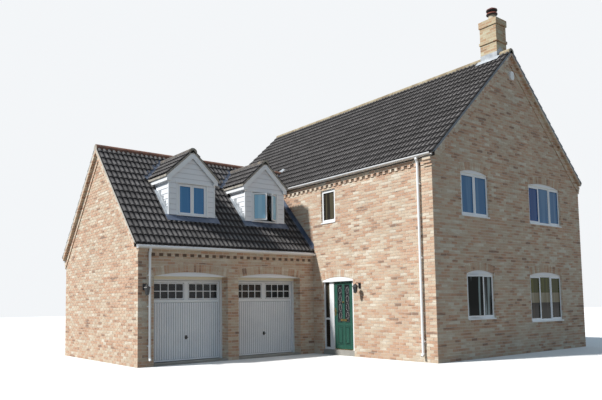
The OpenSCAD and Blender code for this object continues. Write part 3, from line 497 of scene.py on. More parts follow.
def add_shell(points, faces, rings, caps=(True, True)):
    # A shell through rings of as many points each, added to a mesh in the making
    first, count = len(points), len(rings[0])
    last = first + (len(rings) - 1) * count
    for ring in rings:
        points += ring
    for wanted, start in zip(caps, (first, last)):
        if wanted:
            faces.append(range(start, start + count))
    for start in range(first, last, count):
        faces += [(start + k, start + (k + 1) % count, start + count + (k + 1) % count, start + count + k)
                  for k in range(count)]


brick_solid, tree, shader = finish("brick_solid", (0.55, 0.40, 0.28), 0.85)
grained(tree, shader, use(tree, brick_cells)[0], fine=0.5, broad=0.3)
dress(brick_solid, "eaves_brickwork", "verge_brickwork")
stack_brick, tree, shader = finish("stack_brick", (0.52, 0.42, 0.28), 0.85)
grained(tree, shader, tint(tree, use(tree, brick_cells)[0], (0.80, 0.81, 0.70)), fine=0.5, broad=0.3)
dress(stack_brick, "chimney_stack")
# A near-black brick colour for the painted shade between the dentils
dentil_shade, tree, shader = finish("dentil_shade_brick", (0.16, 0.11, 0.08), 0.95)
grained(tree, shader, (0.16, 0.112, 0.083), fine=0.5, broad=0.4)

dentil_wing, dentil_main = (top - 2.25 * course for top in (band_top_wing, main_top))
dentil_end, dentil_corner = 6.30, 0.23
points, faces = [], []
far_end = main_l - dentil_corner
for start, run, z in (((-wing_l + 0.225, wing_y, 0), east * (wing_l - dentil_corner), dentil_wing),
                      ((0, dentil_end, 0), north * (dentil_corner - dentil_end), dentil_main),
                      ((0, far_end, 0), north * (2 * wing_mid - dentil_end - far_end), dentil_main)):
    at = corner + Vector(start) + run.normalized().cross(upright) * 0.0075
    faces.append(range(len(points), len(points) + 4))
    points += [at + run * u + upright * v for u, v in rectangle(0, 1, z, z + course)]
# The sheet of painted shade, seen only between the dentils
piece("dentil_joints", points, faces, dentil_shade, "brick", closed=False)

# Roof tiles: interlocking double-roll concrete tiles, each with two rolls, lapped row over row on battens.
# One tile is modelled, and a grid of it follows each slope; the tiles are cut at valleys, walls and dormers.
roll_height, tile_edge = 0.030, 0.030
half_roll = ((0.165, 0), (0.150, 0.42), (0.105, 0.84), (0.040, 1))


def tile_mesh(cover, gauge):
    # The attributes say how high on a roll and how far up its tile a point lies
    roll = [(-step, height) for step, height in half_roll] + list(half_roll[::-1])
    profile = [(0.0, 0.0)]
    for middle in (0.25, 0.75):
        profile += [((middle + step) * cover, height * roll_height) for step, height in roll]
    profile.append((cover, 0.0))
    points, crown, along = [], [], []
    for y, z, place in ((0, 0, -0.3), (0, tile_edge, 0), (gauge * 1.05, 0.002, 1.05)):
        points += [(x, y, h + z) for x, h in profile]
        crown += [h / roll_height for x, h in profile]
        along += [place] * len(profile)
    count = len(profile)
    faces = [(row + k, row + k + 1, row + count + k + 1, row + count + k)
             for row in (0, count) for k in range(count - 1)]
    made = mesh_object("tile", points, faces)
    for label, values in (("crown", crown), ("along", along)):
        made.data.attributes.new(label, "FLOAT", "POINT").data.foreach_set("value", values)
    return made


tile_tree, given = new_tree("roof_tiles", {"Tile": "Object", "Columns": "Int", "Rows": "Int",
                                           "Cover": "Float", "Gauge": "Float", "Seed": "Int"})


def line_of(axis, count, step):
    offset = put(tile_tree, "ShaderNodeCombineXYZ", {axis: given[step]}).outputs[0]
    return put(tile_tree, "GeometryNodeMeshLine", {"Count": given[count], "Offset": offset},
               mode="OFFSET").outputs[0]


def instances(points, shape):
    return put(tile_tree, "GeometryNodeInstanceOnPoints", {"Points": points, "Instance": shape}).outputs[0]


grid = instances(line_of(1, "Rows", "Gauge"), line_of(0, "Columns", "Cover"))
grid = put(tile_tree, "GeometryNodeRealizeInstances", {"Geometry": grid}).outputs[0]
tile = put(tile_tree, "GeometryNodeObjectInfo", {"Object": given["Tile"]}, transform_space="ORIGINAL")
laid = instances(grid, tile.outputs["Geometry"])
close_tree(tile_tree, given, store_tone(tile_tree, laid, given["Seed"], "INSTANCE"))


def tile_finish(name, pan, body, worn, crown_from, low, high):
    # Pans and lapped ends darkened as painted shade, and rolls worn pale where rain and frost reach them
    material, tree, shader = finish(name, body, 0.85)
    # Painted shade: each tile darkens at its tail and towards its head, under the row above
    lap_shade = ramp(tree, tone_of(tree, "along"), [(0.0, (0.45,) * 3), (0.07, (1,) * 3), (high, (1,) * 3),
                                                (0.86, (low,) * 3)])
    # Pans near-black as painted shade between the rolls; crowns worn pale
    wear_and_pan_shade = calc(tree, "MULTIPLY", tone_of(tree, "crown"), noise(tree, 14.0, 5.0, 0.65))
    base = ramp(tree, calc(tree, "MULTIPLY", wear_and_pan_shade, lap_shade), [(0.0, pan), (crown_from, body), (0.62, worn)])
    varied = calc(tree, "MULTIPLY_ADD", tone_of(tree), 0.5, 0.75)
    grained(tree, shader, tint(tree, base, varied), fine=0.6, broad=0.4, fine_scale=140.0)
    return material


main_tiles = tile_finish("main_tiles", (0.006, 0.005, 0.007), (0.034, 0.031, 0.032), (0.140, 0.131, 0.130),
                         0.22, 0.25, 0.50)
wing_tiles = tile_finish("wing_tiles", (0.006, 0.006, 0.009), (0.042, 0.040, 0.042), (0.150, 0.143, 0.142),
                         0.20, 0.10, 0.46)


def slab_finish(name, normal_axis, edge_colour, middle, apex, slope, mortar_depth=0.055):
    # The dark bed under the tiles. On a verge's edge mortar shows under them, and then brickwork
    material, tree, shader = finish(name, (0.02, 0.02, 0.02), 0.9)
    brickwork, place = use(tree, brick_cells)[0], split(tree, place_of(tree))
    aside = calc(tree, "ABSOLUTE", calc(tree, "SUBTRACT", place[1 - normal_axis], middle))
    depth = calc(tree, "SUBTRACT", calc(tree, "MULTIPLY_ADD", aside, -slope, apex), place[2])
    edge = beyond(tree, depth, mortar_depth * math.sqrt(1 + slope * slope), edge_colour, brickwork)
    inner = blend(tree, calc(tree, "LESS_THAN", facing(tree)[2], -0.3), (0.028, 0.025, 0.025), brickwork)
    grained(tree, shader, blend(tree, faces_along(tree, normal_axis, 0.9), inner, edge), fine=0.5, broad=0.5,
            broad_scale=3.0)
    return material


# The main roof's verge mortar is painted dark blue-grey, as painted shade with a blue sky tint
dress(slab_finish("main_slab", 1, (0.25, 0.27, 0.30), corner.x + main_half, main_apex, main_slope),
      "main_roof_west", "main_roof_east")
dress(slab_finish("wing_slab", 0, (0.46, 0.44, 0.40), corner.y + wing_mid, wing_apex, wing_slope),
      "garage_roof_front", "garage_roof_rear")
tile_gauge, main_cover, wing_tile_cover = 0.300, 0.290, 0.286


def tile_slope(name, start, along, inward, slope, width, run, cover, material, seed):
    # A slope's tiles: start is the foot of its left edge seen from outside, run its depth in plan
    columns = round(width / cover)
    rows = round(run * math.sqrt(1 + slope * slope) / tile_gauge)
    cover, gauge = width / columns, run * math.sqrt(1 + slope * slope) / rows
    sample = tile_mesh(cover, gauge)
    sizes = {"Tile": sample, "Columns": columns, "Rows": rows, "Cover": cover, "Gauge": gauge}
    made = grow(mesh_object(name, [(0, 0, 0)], []), tile_tree, {**sizes, "Seed": seed, "Material": material})
    bpy.data.objects.remove(sample)
    up = (inward + upright * slope).normalized()
    place = Matrix((along, up, along.cross(up))).transposed().to_4x4()
    made.data.transform(Matrix.Translation(corner + Vector(start)) @ place)
    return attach(made, "house")


def trim(made, planes, dropped):
    # Cuts a piece along the planes, then drops the parts whose middle is where another roof or a wall stands
    mesh = bmesh.new()
    mesh.from_mesh(made.data)
    for point, normal in planes:
        bmesh.ops.bisect_plane(mesh, geom=mesh.verts[:] + mesh.edges[:] + mesh.faces[:], dist=1e-5,
                               plane_co=corner + Vector(point), plane_no=Vector(normal))
    gone = [face for face in mesh.faces if dropped(face.calc_center_median() - corner)]
    bmesh.ops.delete(mesh, geom=gone, context="FACES")
    mesh.to_mesh(made.data)
    mesh.free()


tile_out, verge_out = 0.075, 0.110
wing_inner = (wing_apex - main_eaves) / main_slope
main_run, wing_run = main_half + tile_out, wing_half + tile_out
main_foot, wing_foot = main_eaves - tile_out * main_slope, wing_eaves - tile_out * wing_slope
main_span, wing_span = main_l + 2 * verge_out, wing_l + verge_out + wing_inner + 0.25
# Tiles stop short of a valley, where the lead shows
valley_gap, dormer_gap = 0.095, 0.155
dormers, dormer_half, dormer_apex, dormer_y = (-3.745, -1.290), 0.70, 5.800, wing_y + 0.678
dormer_slope = math.tan(math.radians(43))
dormer_run, dormer_front = dormer_half + 0.120, dormer_y - 0.082
dormer_foot = dormer_apex - dormer_run * dormer_slope


def on_wing(p):
    return wing_eaves + (wing_half - abs(p.y - wing_mid)) * wing_slope


def on_main(p):
    return main_eaves + (main_half - abs(p.x - main_half)) * main_slope


def in_wing_tiles(p):
    return p.z < on_wing(p) + valley_gap * wing_slope


def in_main_tiles(p):
    return p.z < on_main(p) + valley_gap * main_slope


def off_wing_front(p):
    if p.x > 0 and p.z < main_eaves or p.x > -valley_gap and main_eaves < p.z and in_main_tiles(p):
        return True
    for x in dormers:
        aside = abs(p.x - x)
        if aside < dormer_half and p.y > dormer_y and p.z < dormer_apex - aside * dormer_slope:
            return True
        if dormer_foot < p.z < dormer_apex - (aside - dormer_gap) * dormer_slope:
            return True
    return False


west = tile_slope("tiles_main_west", (-tile_out, main_l + verge_out, main_foot), -north, east, main_slope,
                  main_span, main_run, main_cover, main_tiles, 21)
wing_cover = wing_eaves + valley_gap * wing_slope
wing_planes = [((0, wing_y, wing_cover), (0, -wing_slope, 1)),
               ((0, wing_y + wing_d, wing_cover), (0, wing_slope, 1))]
trim(west, wing_planes, lambda p: abs(p.y - wing_mid) < wing_half + tile_out and in_wing_tiles(p))
tile_slope("tiles_main_east", (main_w + tile_out, -verge_out, main_foot), north, -east, main_slope,
           main_span, main_run, main_cover, main_tiles, 22)
front = tile_slope("tiles_wing_front", (-wing_l - verge_out, wing_y - tile_out, wing_foot), east, north,
                   wing_slope, wing_span, wing_run, wing_tile_cover, wing_tiles, 23)
main_planes = [((0, 0, 0), (1, 0, 0)), ((-valley_gap, 0, main_eaves), (-main_slope, 0, 1))]
planes = main_planes + [((0, dormer_y, 0), (0, 1, 0)), ((0, 0, dormer_foot), (0, 0, 1))]
for x in dormers:
    for side in (-1, 1):
        planes += [((x + side * dormer_half, 0, 0), (1, 0, 0)),
                   ((x + side * dormer_gap, 0, dormer_apex), (side * dormer_slope, 0, 1))]
trim(front, planes, off_wing_front)
rear = tile_slope("tiles_wing_rear", (wing_inner + 0.25, wing_y + wing_d + tile_out, wing_foot), -east,
                  -north, wing_slope, wing_span, wing_run, wing_tile_cover, wing_tiles, 24)
trim(rear, main_planes, lambda p: p.x > 0 and in_main_tiles(p))

dormer_back = wing_mid + 0.05
dormer_span = dormer_back - dormer_front
for k, x in enumerate(dormers):
    for side, hand in ((1, "left"), (-1, "right")):
        start = (x - side * dormer_run, dormer_back if side > 0 else dormer_front, dormer_foot)
        slope = tile_slope(f"tiles_dormer_{k}_{hand}", start, -north * side, east * side, dormer_slope,
                           dormer_span, dormer_run, main_cover, main_tiles, 25 + 2 * k + side)
        trim(slope, wing_planes[:1], lambda p: in_wing_tiles(p) or p.y > wing_mid)

# Ridge tiles and lead: half-round clay tiles end to end over a bed of mortar, ochre with lichen on the main
# roof, red on the wing and dark on the dormers, and dull sheet lead in the valleys and on the flashings.
# The lead of the valleys, the aprons and the wall flashings is painted dark blue, as painted shade.
ridge_radius, ridge_sink, ridge_length, ridge_joint, ridge_proud = 0.125, 0.070, 0.450, 0.010, 0.009
sheet_t, sheet_gap, upstand = 0.004, 0.004, 0.150


def painted(name, base, roughness, pattern, stops, metallic=0.0, **look):
    # A finish whose colour drifts with noise
    material, tree, shader = finish(name, base, roughness, metallic)
    grained(tree, shader, ramp(tree, noise(tree, **pattern), stops), **look)
    return material


def mottled(name, colours, scale, fine=0.5, roughness=0.85, fine_scale=90.0, metallic=0.0):
    # A weathered finish that drifts through a list of colours
    stops = [(0.30 + 0.40 * k / (len(colours) - 1), colour) for k, colour in enumerate(colours)]
    return painted(name, colours[0], roughness, {"scale": scale, "detail": 6.0, "roughness": 0.6}, stops,
                   metallic, fine=fine, fine_scale=fine_scale)


def half_round(start, along, length, radius, points, faces, turns=12):
    # A half-round tile with closed ends, added to a mesh in the making
    side = along.cross(upright)
    first, ring = len(points), turns + 1
    for where in (0, length):
        for k in range(ring):
            angle = math.pi * (1.15 * k / turns - 0.075)
            points.append(start + along * where + side * radius * math.cos(angle)
                          + upright * radius * math.sin(angle))
    faces += [(first + k, first + ring + k, first + ring + k + 1, first + k + 1) for k in range(turns)]
    faces.append(range(first, first + ring))
    faces.append(range(first + 2 * ring - 1, first + ring - 1, -1))


def ridge(name, start, along, length, material, planes=(), dropped=None):
    # The tiles stand proud of the mortar that shows in their joints and at their ends
    start = corner + Vector(start) - upright * ridge_sink
    count = max(1, round(length / ridge_length))
    tiles, mortar = ([], []), ([], [])
    for k in range(count):
        half_round(start + along * (length * k / count + ridge_joint / 2), along,
                   length / count - ridge_joint, ridge_radius, *tiles)
    half_round(start, along, length, ridge_radius - ridge_proud, *mortar)
    for kind, shape, finish_of in (("tiles", tiles, material), ("mortar", mortar, ridge_mortar)):
        made = piece(f"{name}_{kind}", *shape, finish_of, "ridge_tile", closed=False)
        if dropped:
            trim(made, planes, dropped)
        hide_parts("ridge_tiles")


ridge_mortar = mottled("ridge_mortar", [(0.20, 0.18, 0.15), (0.48, 0.44, 0.37)], 9.0)
ochre = mottled("ochre_ridge", [(0.16, 0.12, 0.08), (0.29, 0.235, 0.15), (0.38, 0.34, 0.25)], 4.0)
red = mottled("red_ridge", [(0.08, 0.05, 0.04), (0.20, 0.085, 0.055), (0.24, 0.16, 0.12)], 4.0)
dark = mottled("dark_ridge", [(0.045, 0.040, 0.040), (0.09, 0.08, 0.075), (0.20, 0.17, 0.13)], 6.0)
stack_low, stack_high = (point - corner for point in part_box("chimney_stack"))
ridge("ridge_main_near", (main_half, -verge_out, main_apex), north, stack_low.y + verge_out, ochre)
ridge("ridge_main", (main_half, stack_high.y, main_apex), north, main_l + verge_out - stack_high.y, ochre)
ridge("ridge_wing", (-wing_l - verge_out, wing_mid, wing_apex), east, wing_l + verge_out + wing_inner + 0.2,
      red, [((0, 0, main_eaves), (-main_slope, 0, 1))], lambda p: p.x > 0 and p.z < on_main(p))
wing_surface = [((0, wing_y, wing_eaves), (0, -wing_slope, 1))]


def behind_wing(p):
    return p.z < on_wing(p) or p.y > wing_mid


for k, x in enumerate(dormers):
    ridge(f"ridge_dormer_{k}", (x, dormer_front, dormer_apex), north, wing_mid - dormer_front, dark,
          wing_surface, behind_wing)

# Dark blue lead: painted shade with a blue sky tint
lead = mottled("lead", [(0.055, 0.080, 0.135), (0.10, 0.13, 0.195), (0.19, 0.22, 0.28)], 3.0, 0.3, 0.55,
               metallic=0.3)
pale_lead = mottled("pale_lead", [(0.26, 0.29, 0.33), (0.50, 0.53, 0.56)], 5.0, 0.3, 0.5)


def strip(name, low, high, sides, width, lift=0.012, thickness=0.003, material=lead):
    # A folded strip along a line, with a wing of the given width towards each side
    low, high = corner + Vector(low), corner + Vector(high)
    run = (high - low).normalized()
    points, faces = [], []
    for side in sides:
        out = (Vector(side) - run * run.dot(Vector(side))).normalized()
        normal = run.cross(out)
        if normal.z < 0:
            normal = -normal
        section = [out * reach + normal * (lift + rise) for reach, rise in rectangle(0, width, 0, thickness)]
        add_shell(points, faces, [[end + p for p in section] for end in (low, high)])
    piece(name, points, faces, material, "steel")


def wing_point(x, z):
    return (x, wing_y + (z - wing_eaves) / wing_slope, z)


for k, x in enumerate(dormers):
    for side, hand in ((-1, "left"), (1, "right")):
        low = wing_point(x + side * (dormer_run - 0.03), dormer_foot + 0.03 * dormer_slope)
        strip(f"valley_dormer_{k}_{hand}", low, wing_point(x, dormer_apex),
              [(side, 0, 0), (-side, 0, dormer_slope)], 0.20)
for name, sign in (("front", 1), ("rear", -1)):
    low = (0, wing_mid - sign * (wing_half - (main_eaves - wing_eaves) / wing_slope), main_eaves)
    strip(f"valley_main_{name}", low, (wing_inner, wing_mid, wing_apex), [(-1, 0, 0), (0, -sign, 0)], 0.13)
strip("ridge_saddle", (wing_inner - 0.06, wing_mid, wing_apex + 0.062),
      (wing_inner + 0.30, wing_mid, wing_apex + 0.30), [(0, -1, -0.5), (0, 1, -0.5)], 0.16, 0.0, sheet_t,
      pale_lead)


def prisms(name, axis, pieces, material, slot):
    # Straight pieces along x (0) or y (1): each is its outline across them, its start and its end
    points, faces = [], []
    for outline, *ends in pieces:
        add_shell(points, faces, [[corner + Vector((where, across, z) if axis == 0 else (across, where, z))
                                   for across, z in outline] for where in ends])
    return piece(name, points, faces, material, slot)


# Lead lies on the crowns of the tiles' rolls
wing_crown, main_crown = 0.058 / math.cos(wing_pitch), 0.058 / math.cos(main_pitch)


def roll_z(y):
    return wing_eaves + (y - wing_y) * wing_slope + wing_crown


def crown_z(x):
    return main_eaves + (main_half - abs(x - main_half)) * main_slope + main_crown


def lying(low, high, top, thickness=sheet_t):
    # Section of a sheet that lies on a slope between two distances
    return [(low, top(low)), (high, top(high)), (high, top(high) + thickness), (low, top(low) + thickness)]


aprons, cheek_strips, steps = [], [], []
apron_w, apron_parts, lap, step_run = 1.62, 5, 0.100, 0.150
lead_end, wall_end = wing_y + 1.394, wing_y + 1.436
for x in dormers:
    for k in range(apron_parts):
        low, high = (x + apron_w * (j / apron_parts - 0.5) for j in (k, k + 1))
        aprons.append((lying(dormer_y - 0.160, dormer_y, roll_z), low, high - sheet_gap))
    for side in (-1, 1):
        cheek = x + side * dormer_half
        cheek_strips.append((lying(dormer_y, lead_end, roll_z), *sorted((cheek, cheek + side * lap))))
        ends = sorted((cheek + side * 0.016, cheek + side * 0.021))
        for k in range(int((lead_end - dormer_y) / step_run)):
            y0, y1 = dormer_y + k * step_run, dormer_y + (k + 1) * step_run - sheet_gap
            step_top = roll_z(y1) + 0.080
            steps.append(([(y0, roll_z(y0)), (y1, roll_z(y1)), (y1, step_top), (y0, step_top)], *ends))
prisms("dormer_aprons", 0, aprons, lead, "steel")
prisms("cheek_strips", 0, cheek_strips, pale_lead, "steel")
prisms("cheek_steps", 0, steps, pale_lead, "steel")
wall_lead = []
for outer, thickness in ((-lap, sheet_t), (-0.021, upstand)):
    sheet = lying(wing_y - tile_out, wall_end, roll_z, thickness)
    wall_lead += [(sheet, outer, -0.016), ([(2 * wing_mid - y, z) for y, z in sheet], outer, -0.016)]
prisms("wall_lead", 0, wall_lead, lead, "steel")

stack_inset, collar_t = 0.025, 0.005
west_x, east_x, near_y, far_y = (stack_low.x + stack_inset, stack_high.x - stack_inset,
                                 stack_low.y + stack_inset, stack_high.y - stack_inset)
skirt = [(lying(low, high, crown_z), near_y - 0.100, far_y + 0.100)
         for low, high in ((west_x - 0.160, west_x), (east_x, east_x + 0.160))]
for low, high in ((west_x - collar_t, west_x), (east_x, east_x + collar_t)):
    skirt.append(([(low, crown_z(low) - 0.02), (high, crown_z(high) - 0.02), (high, crown_z(high) + upstand),
                   (low, crown_z(low) + upstand)], near_y - collar_t, far_y + collar_t))
chevron = [(x, crown_z(x)) for x in (west_x, main_half, east_x)]
chevron += [(x, z + upstand) for x, z in chevron[::-1]]
skirt += [(chevron, near_y - collar_t, near_y), (chevron, far_y, far_y + collar_t)]
prisms("chimney_skirt", 1, skirt, pale_lead, "steel")

# Dormer boarding: white boards 147 mm deep, each lapped over the one below, with corner beads at the front.
# The boards' joints line up with the head and the foot of the window.
window_z, window_h, window_w = 3.955, 0.880, 0.900
board_gauge, window_head = window_h / 6, window_z + window_h
trim_white = mottled("board_paint", [(0.85, 0.88, 0.92), (0.89, 0.92, 0.96)], 2.0, 0.05, 0.45, 220.0)
boards, tree, shader = finish("painted_boards", (0.80, 0.82, 0.85), 0.45)
height = split(tree, place_of(tree))[2]
row = calc(tree, "MULTIPLY_ADD", height, 1 / board_gauge, 20 - window_z / board_gauge)
lapped = calc(tree, "FRACT", row)
# The paint is darker just under each lap and at each board's foot: painted shade of the laps
colour = ramp(tree, lapped, [(0.0, (0.74, 0.77, 0.82)), (0.05, (0.87, 0.90, 0.95)),
                             (0.86, (0.84, 0.87, 0.92)), (0.95, (0.66, 0.69, 0.75))])
grained(tree, shader, colour, fine=0.05, broad=0.05, fine_scale=220.0, bump=0.0006)
dress(boards, "dormer_fronts", "dormer_cheeks")


def lay_boards(name, start, along, outward, outline, hole=None):
    # Boards across an outline in the wall's own u and z, their lower edges standing out
    points, faces = [], []
    start = corner + Vector(start)
    heights = [z for u, z in outline]
    row = math.floor((min(heights) - window_z) / board_gauge)
    while window_z + row * board_gauge < max(heights):
        z0 = window_z + row * board_gauge
        band = cut(cut(outline, (0, z0), (0, -1)), (0, z0 + board_gauge), (0, 1))
        parts = [band]
        if hole and z0 + 0.01 > hole[2] and z0 + board_gauge < hole[3] + 0.01:
            parts = [cut(band, (hole[0], 0), (1, 0)), cut(band, (hole[1], 0), (-1, 0))]
        for part in parts:
            if len(part) > 2 and abs(area(part)) >= 1e-4:
                back = [start + along * u + upright * z for u, z in part]
                face = [point + outward * (0.016 - 0.012 * (z - z0) / board_gauge)
                        for point, (u, z) in zip(back, part)]
                add_shell(points, faces, [back, face], (False, True))
        row += 1
    piece(name, points, faces, boards, "white_board")


front_foot = wing_eaves + 0.678 * wing_slope + 0.088
cheek_top, gable_apex = dormer_foot - 0.160, dormer_apex - 0.09
cheek_reach, gable_foot = (cheek_top - front_foot) / wing_slope, gable_apex - dormer_half * dormer_slope
dormer_gable = [(-dormer_half, front_foot), (dormer_half, front_foot), (dormer_half, gable_foot),
                (0, gable_apex), (-dormer_half, gable_foot)]
cheek = [(0, front_foot), (cheek_reach, cheek_top), (0, cheek_top)]
for k, x in enumerate(dormers):
    lay_boards(f"dormer_{k}_front_boards", (x, dormer_y, 0), east, -north, dormer_gable,
               (-window_w / 2, window_w / 2, window_z, window_head))
    lay_boards(f"dormer_{k}_left_boards", (x - dormer_half, dormer_y, 0), north, -east, cheek[::-1])
    lay_boards(f"dormer_{k}_right_boards", (x + dormer_half, dormer_y, 0), north, east, cheek)


def dormer_top(u):
    return dormer_apex - u * dormer_slope


def half_section(half, top, depth):
    return [(0, dormer_apex - top), (half, dormer_top(half) - top), (half, dormer_top(half) - depth),
            (0, dormer_apex - depth)]


# Each dormer's roof bed with its thin tiled edge, and the barge boards with their boxed feet, fascias and
# soffits: outlines of one half, with the start and end of each along the dormer
dormer_bed = mottled("dormer_bed", [(0.22, 0.205, 0.185), (0.46, 0.43, 0.38)], 8.0)
board_h, board_t, soffit_t, under = 0.180, 0.022, 0.009, 0.0603
board_face, foot_z = dormer_y - 0.070, dormer_foot - 0.165
board_back, box_half, foot_in = board_face + board_t, dormer_half + 0.090, dormer_half - 0.045
box_in = box_half - board_t
barge_outline = [(0, dormer_apex - under), (box_half, dormer_top(box_half) - under), (box_half, foot_z),
                 (foot_in, foot_z), (foot_in, dormer_top(foot_in) - under - board_h),
                 (0, dormer_apex - under - board_h)]
fascia = [(box_in, foot_z), (box_half, foot_z), (box_half, dormer_top(box_half) - under),
          (box_in, dormer_top(box_in) - under)]
bed_parts = [(half_section(dormer_run, 0, 0.060), board_face - 0.012, dormer_back),
             (half_section(box_in, 0.002, 0.130), board_back, dormer_back)]
barge_parts = [(barge_outline, board_face, board_back), (fascia, board_back, dormer_back),
               (rectangle(dormer_half, box_in, foot_z, foot_z + soffit_t), board_back, dormer_back),
               (rectangle(foot_in, dormer_half, foot_z, foot_z + soffit_t), board_back, dormer_y)]


def both_halves(x, parts):
    return [([(x + side * u, z) for u, z in outline], *ends) for side in (-1, 1) for outline, *ends in parts]


for k, x in enumerate(dormers):
    bed = prisms(f"dormer_{k}_roof_bed", 1, both_halves(x, bed_parts), dormer_bed, "roof_tile")
    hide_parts("dormer_roofs")
    barge = prisms(f"dormer_{k}_barge_boards", 1, both_halves(x, barge_parts), trim_white, "white_board")
    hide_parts("barge_boards")
    for made in (bed, barge):
        trim(made, wing_surface, behind_wing)


def bars(name, pieces, material, slot, body="house", chamfer=0.003, facing=1):
    # Bars with chamfered front edges, that face the near side (1) or the entrance side (0): each is its
    # lowest and highest corner, in house coordinates
    points, faces, across = [], [], 1 - facing
    for low, high in pieces:
        low, high = corner + Vector(low), corner + Vector(high)
        c = min(chamfer, (high[across] - low[across]) / 3, (high.z - low.z) / 3)
        rings = []
        for depth, inset in ((high[facing], 0), (low[facing] + c, 0), (low[facing], c)):
            outline = rectangle(low[across] + inset, high[across] - inset, low.z + inset, high.z - inset)
            rings.append([(a, depth, z) if facing else (depth, a, z) for a, z in outline])
        add_shell(points, faces, rings)
    piece(name, points, faces, material, slot, body)


half = window_w / 2
for k, x in enumerate(dormers):
    bars(f"dormer_{k}_corner_beads", [
        ((x + side * dormer_half - 0.022, dormer_y - 0.020, front_foot),
         (x + side * dormer_half + 0.022, dormer_y + 0.02, cheek_top)) for side in (-1, 1)],
        trim_white, "white_board")
    bars(f"dormer_{k}_window_trim", [
        ((x - half - 0.045, dormer_y - 0.020, window_z), (x - half + 0.004, dormer_y + 0.01, window_head)),
        ((x + half - 0.004, dormer_y - 0.020, window_z), (x + half + 0.045, dormer_y + 0.01, window_head)),
        ((x - half - 0.060, dormer_y - 0.030, window_head),
         (x + half + 0.060, dormer_y + 0.01, window_head + 0.045))], trim_white, "white_board")
    bars(f"dormer_{k}_sill", [((x - half - 0.040, dormer_y - 0.050, window_z - 0.014),
                               (x + half + 0.040, dormer_y + 0.012, window_z + 0.020))],
         trim_white, "white_board")

# Windows: smooth white frames and dark panes with painted reflections of the sky upstairs, and black seals
# round each pane.
# The seals follow the panes of the drawing, so those of the open sashes stand open with them.
frames_white = painted("frame_white", (0.80, 0.82, 0.85), 0.28, {"scale": 2.5, "detail": 2.0},
                       [(0.3, (0.88, 0.90, 0.93)), (0.7, (0.92, 0.94, 0.97))],
                       fine=0.04, broad=0.05, fine_scale=60.0, bump=0.0003)
dress(frames_white, "front_window_frames", "plain_window_frames", "dormer_window_frames",
      "door_frame", "gutters", "downpipes", "alarm_box")

pane, tree, shader = finish("window_pane", (0.03, 0.05, 0.08), 0.06)
shader.inputs["Specular IOR Level"].default_value = 0.12
place = split(tree, place_of(tree))
folds = noise(tree, 1.0, 2.0, stretch=(7, 7, 0.3))
hung, narrow = (ramp(tree, folds, [(edge, (0, 0, 0)), (0.60, (1, 1, 1))]) for edge in (0.50, 0.56))
dark_room = blend(tree, narrow, (0.006, 0.008, 0.007), (0.330, 0.400, 0.400))
dark_band = blend(tree, hung, (0.026, 0.018, 0.011), (0.060, 0.038, 0.022))
pale_band = blend(tree, hung, (0.300, 0.245, 0.150), (0.420, 0.360, 0.250))
green_band = blend(tree, hung, (0.070, 0.070, 0.004), (0.120, 0.115, 0.008))
# Painted reflections: sky blue on the upper and dormer panes, pale cyan on the right dormer's, and bands by
# height
sky_pane = blend(tree, hung, (0.075, 0.205, 0.400), (0.120, 0.265, 0.460))
deep_sky = blend(tree, hung, (0.020, 0.090, 0.290), (0.030, 0.110, 0.320))
dormer_sky_reflection = blend(tree, hung, (0.085, 0.260, 0.520), (0.110, 0.300, 0.560))
stair_pane = blend(tree, hung, (0.028, 0.024, 0.020), (0.085, 0.075, 0.050))
open_sash_sky_reflection = blend(tree, hung, (0.350, 0.640, 0.840), (0.440, 0.720, 0.900))
# The lower right window's bands by height are painted reflections too
mirrored = beyond(tree, place[2], 1.41, dark_band, beyond(tree, place[2], 1.70, pale_band, green_band))
low_pane = beyond(tree, place[0], corner.x + 3.4, dark_room, mirrored)
high_pane = beyond(tree, place[0], corner.x + 3.4, sky_pane,
                   beyond(tree, place[0], corner.x + 4.97, deep_sky, sky_pane))
walls = beyond(tree, place[0], corner.x + 0.5, stair_pane, beyond(tree, place[2], 3.0, low_pane, high_pane))
left_right = beyond(tree, place[0], corner.x + dormers[1] - 0.6, dormer_sky_reflection, open_sash_sky_reflection)
tree.links.new(beyond(tree, place[0], corner.x - 0.3, left_right, walls), shader.inputs["Base Color"])
dress(pane, "window_glass")

door_pane, tree, shader = finish("door_pane", (0.02, 0.02, 0.025), 0.12)
shader.inputs["Specular IOR Level"].default_value = 0.25
rippled = noise(tree, 38.0, 2.0)
tree.links.new(ramp(tree, rippled, [(0.35, (0.010, 0.011, 0.013)), (0.65, (0.050, 0.052, 0.058))]),
               shader.inputs["Base Color"])
bumped = put(tree, "ShaderNodeBump", {"Height": rippled, "Distance": 0.002, "Strength": 0.5})
tree.links.new(bumped.outputs[0], shader.inputs["Normal"])
dress(door_pane, "front_door_glass", "garage_left_glass", "garage_right_glass")
seal_black = mottled("seal_black", [(0.012, 0.012, 0.013), (0.030, 0.030, 0.032)], 20.0, 0.2, 0.5)


def seals(name, node, body, width=0.007, rise=0.0012):
    # A flat ring just inside the edge of both faces of every pane of a node
    mesh = bmesh.new()
    mesh.from_mesh(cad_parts[node].data)
    bmesh.ops.remove_doubles(mesh, verts=mesh.verts, dist=1e-5)
    bmesh.ops.dissolve_limit(mesh, angle_limit=0.01, verts=mesh.verts, edges=mesh.edges)
    points, faces = [], []
    for face in mesh.faces:
        if len(face.verts) != 4 or min(edge.calc_length() for edge in face.edges) < 0.08:
            continue
        outer = [v.co + face.normal * rise for v in face.verts]
        inner = [outer[k] + ((outer[(k + 1) % 4] - outer[k]).normalized()
                             + (outer[k - 1] - outer[k]).normalized()) * width for k in range(4)]
        add_shell(points, faces, [outer, inner], (False, False))
    mesh.free()
    piece(name, points, faces, seal_black, "black_metal", body, closed=False)


seals("window_seals", "window_glass", "house")
seals("door_seals", "front_door_glass", "front_door")
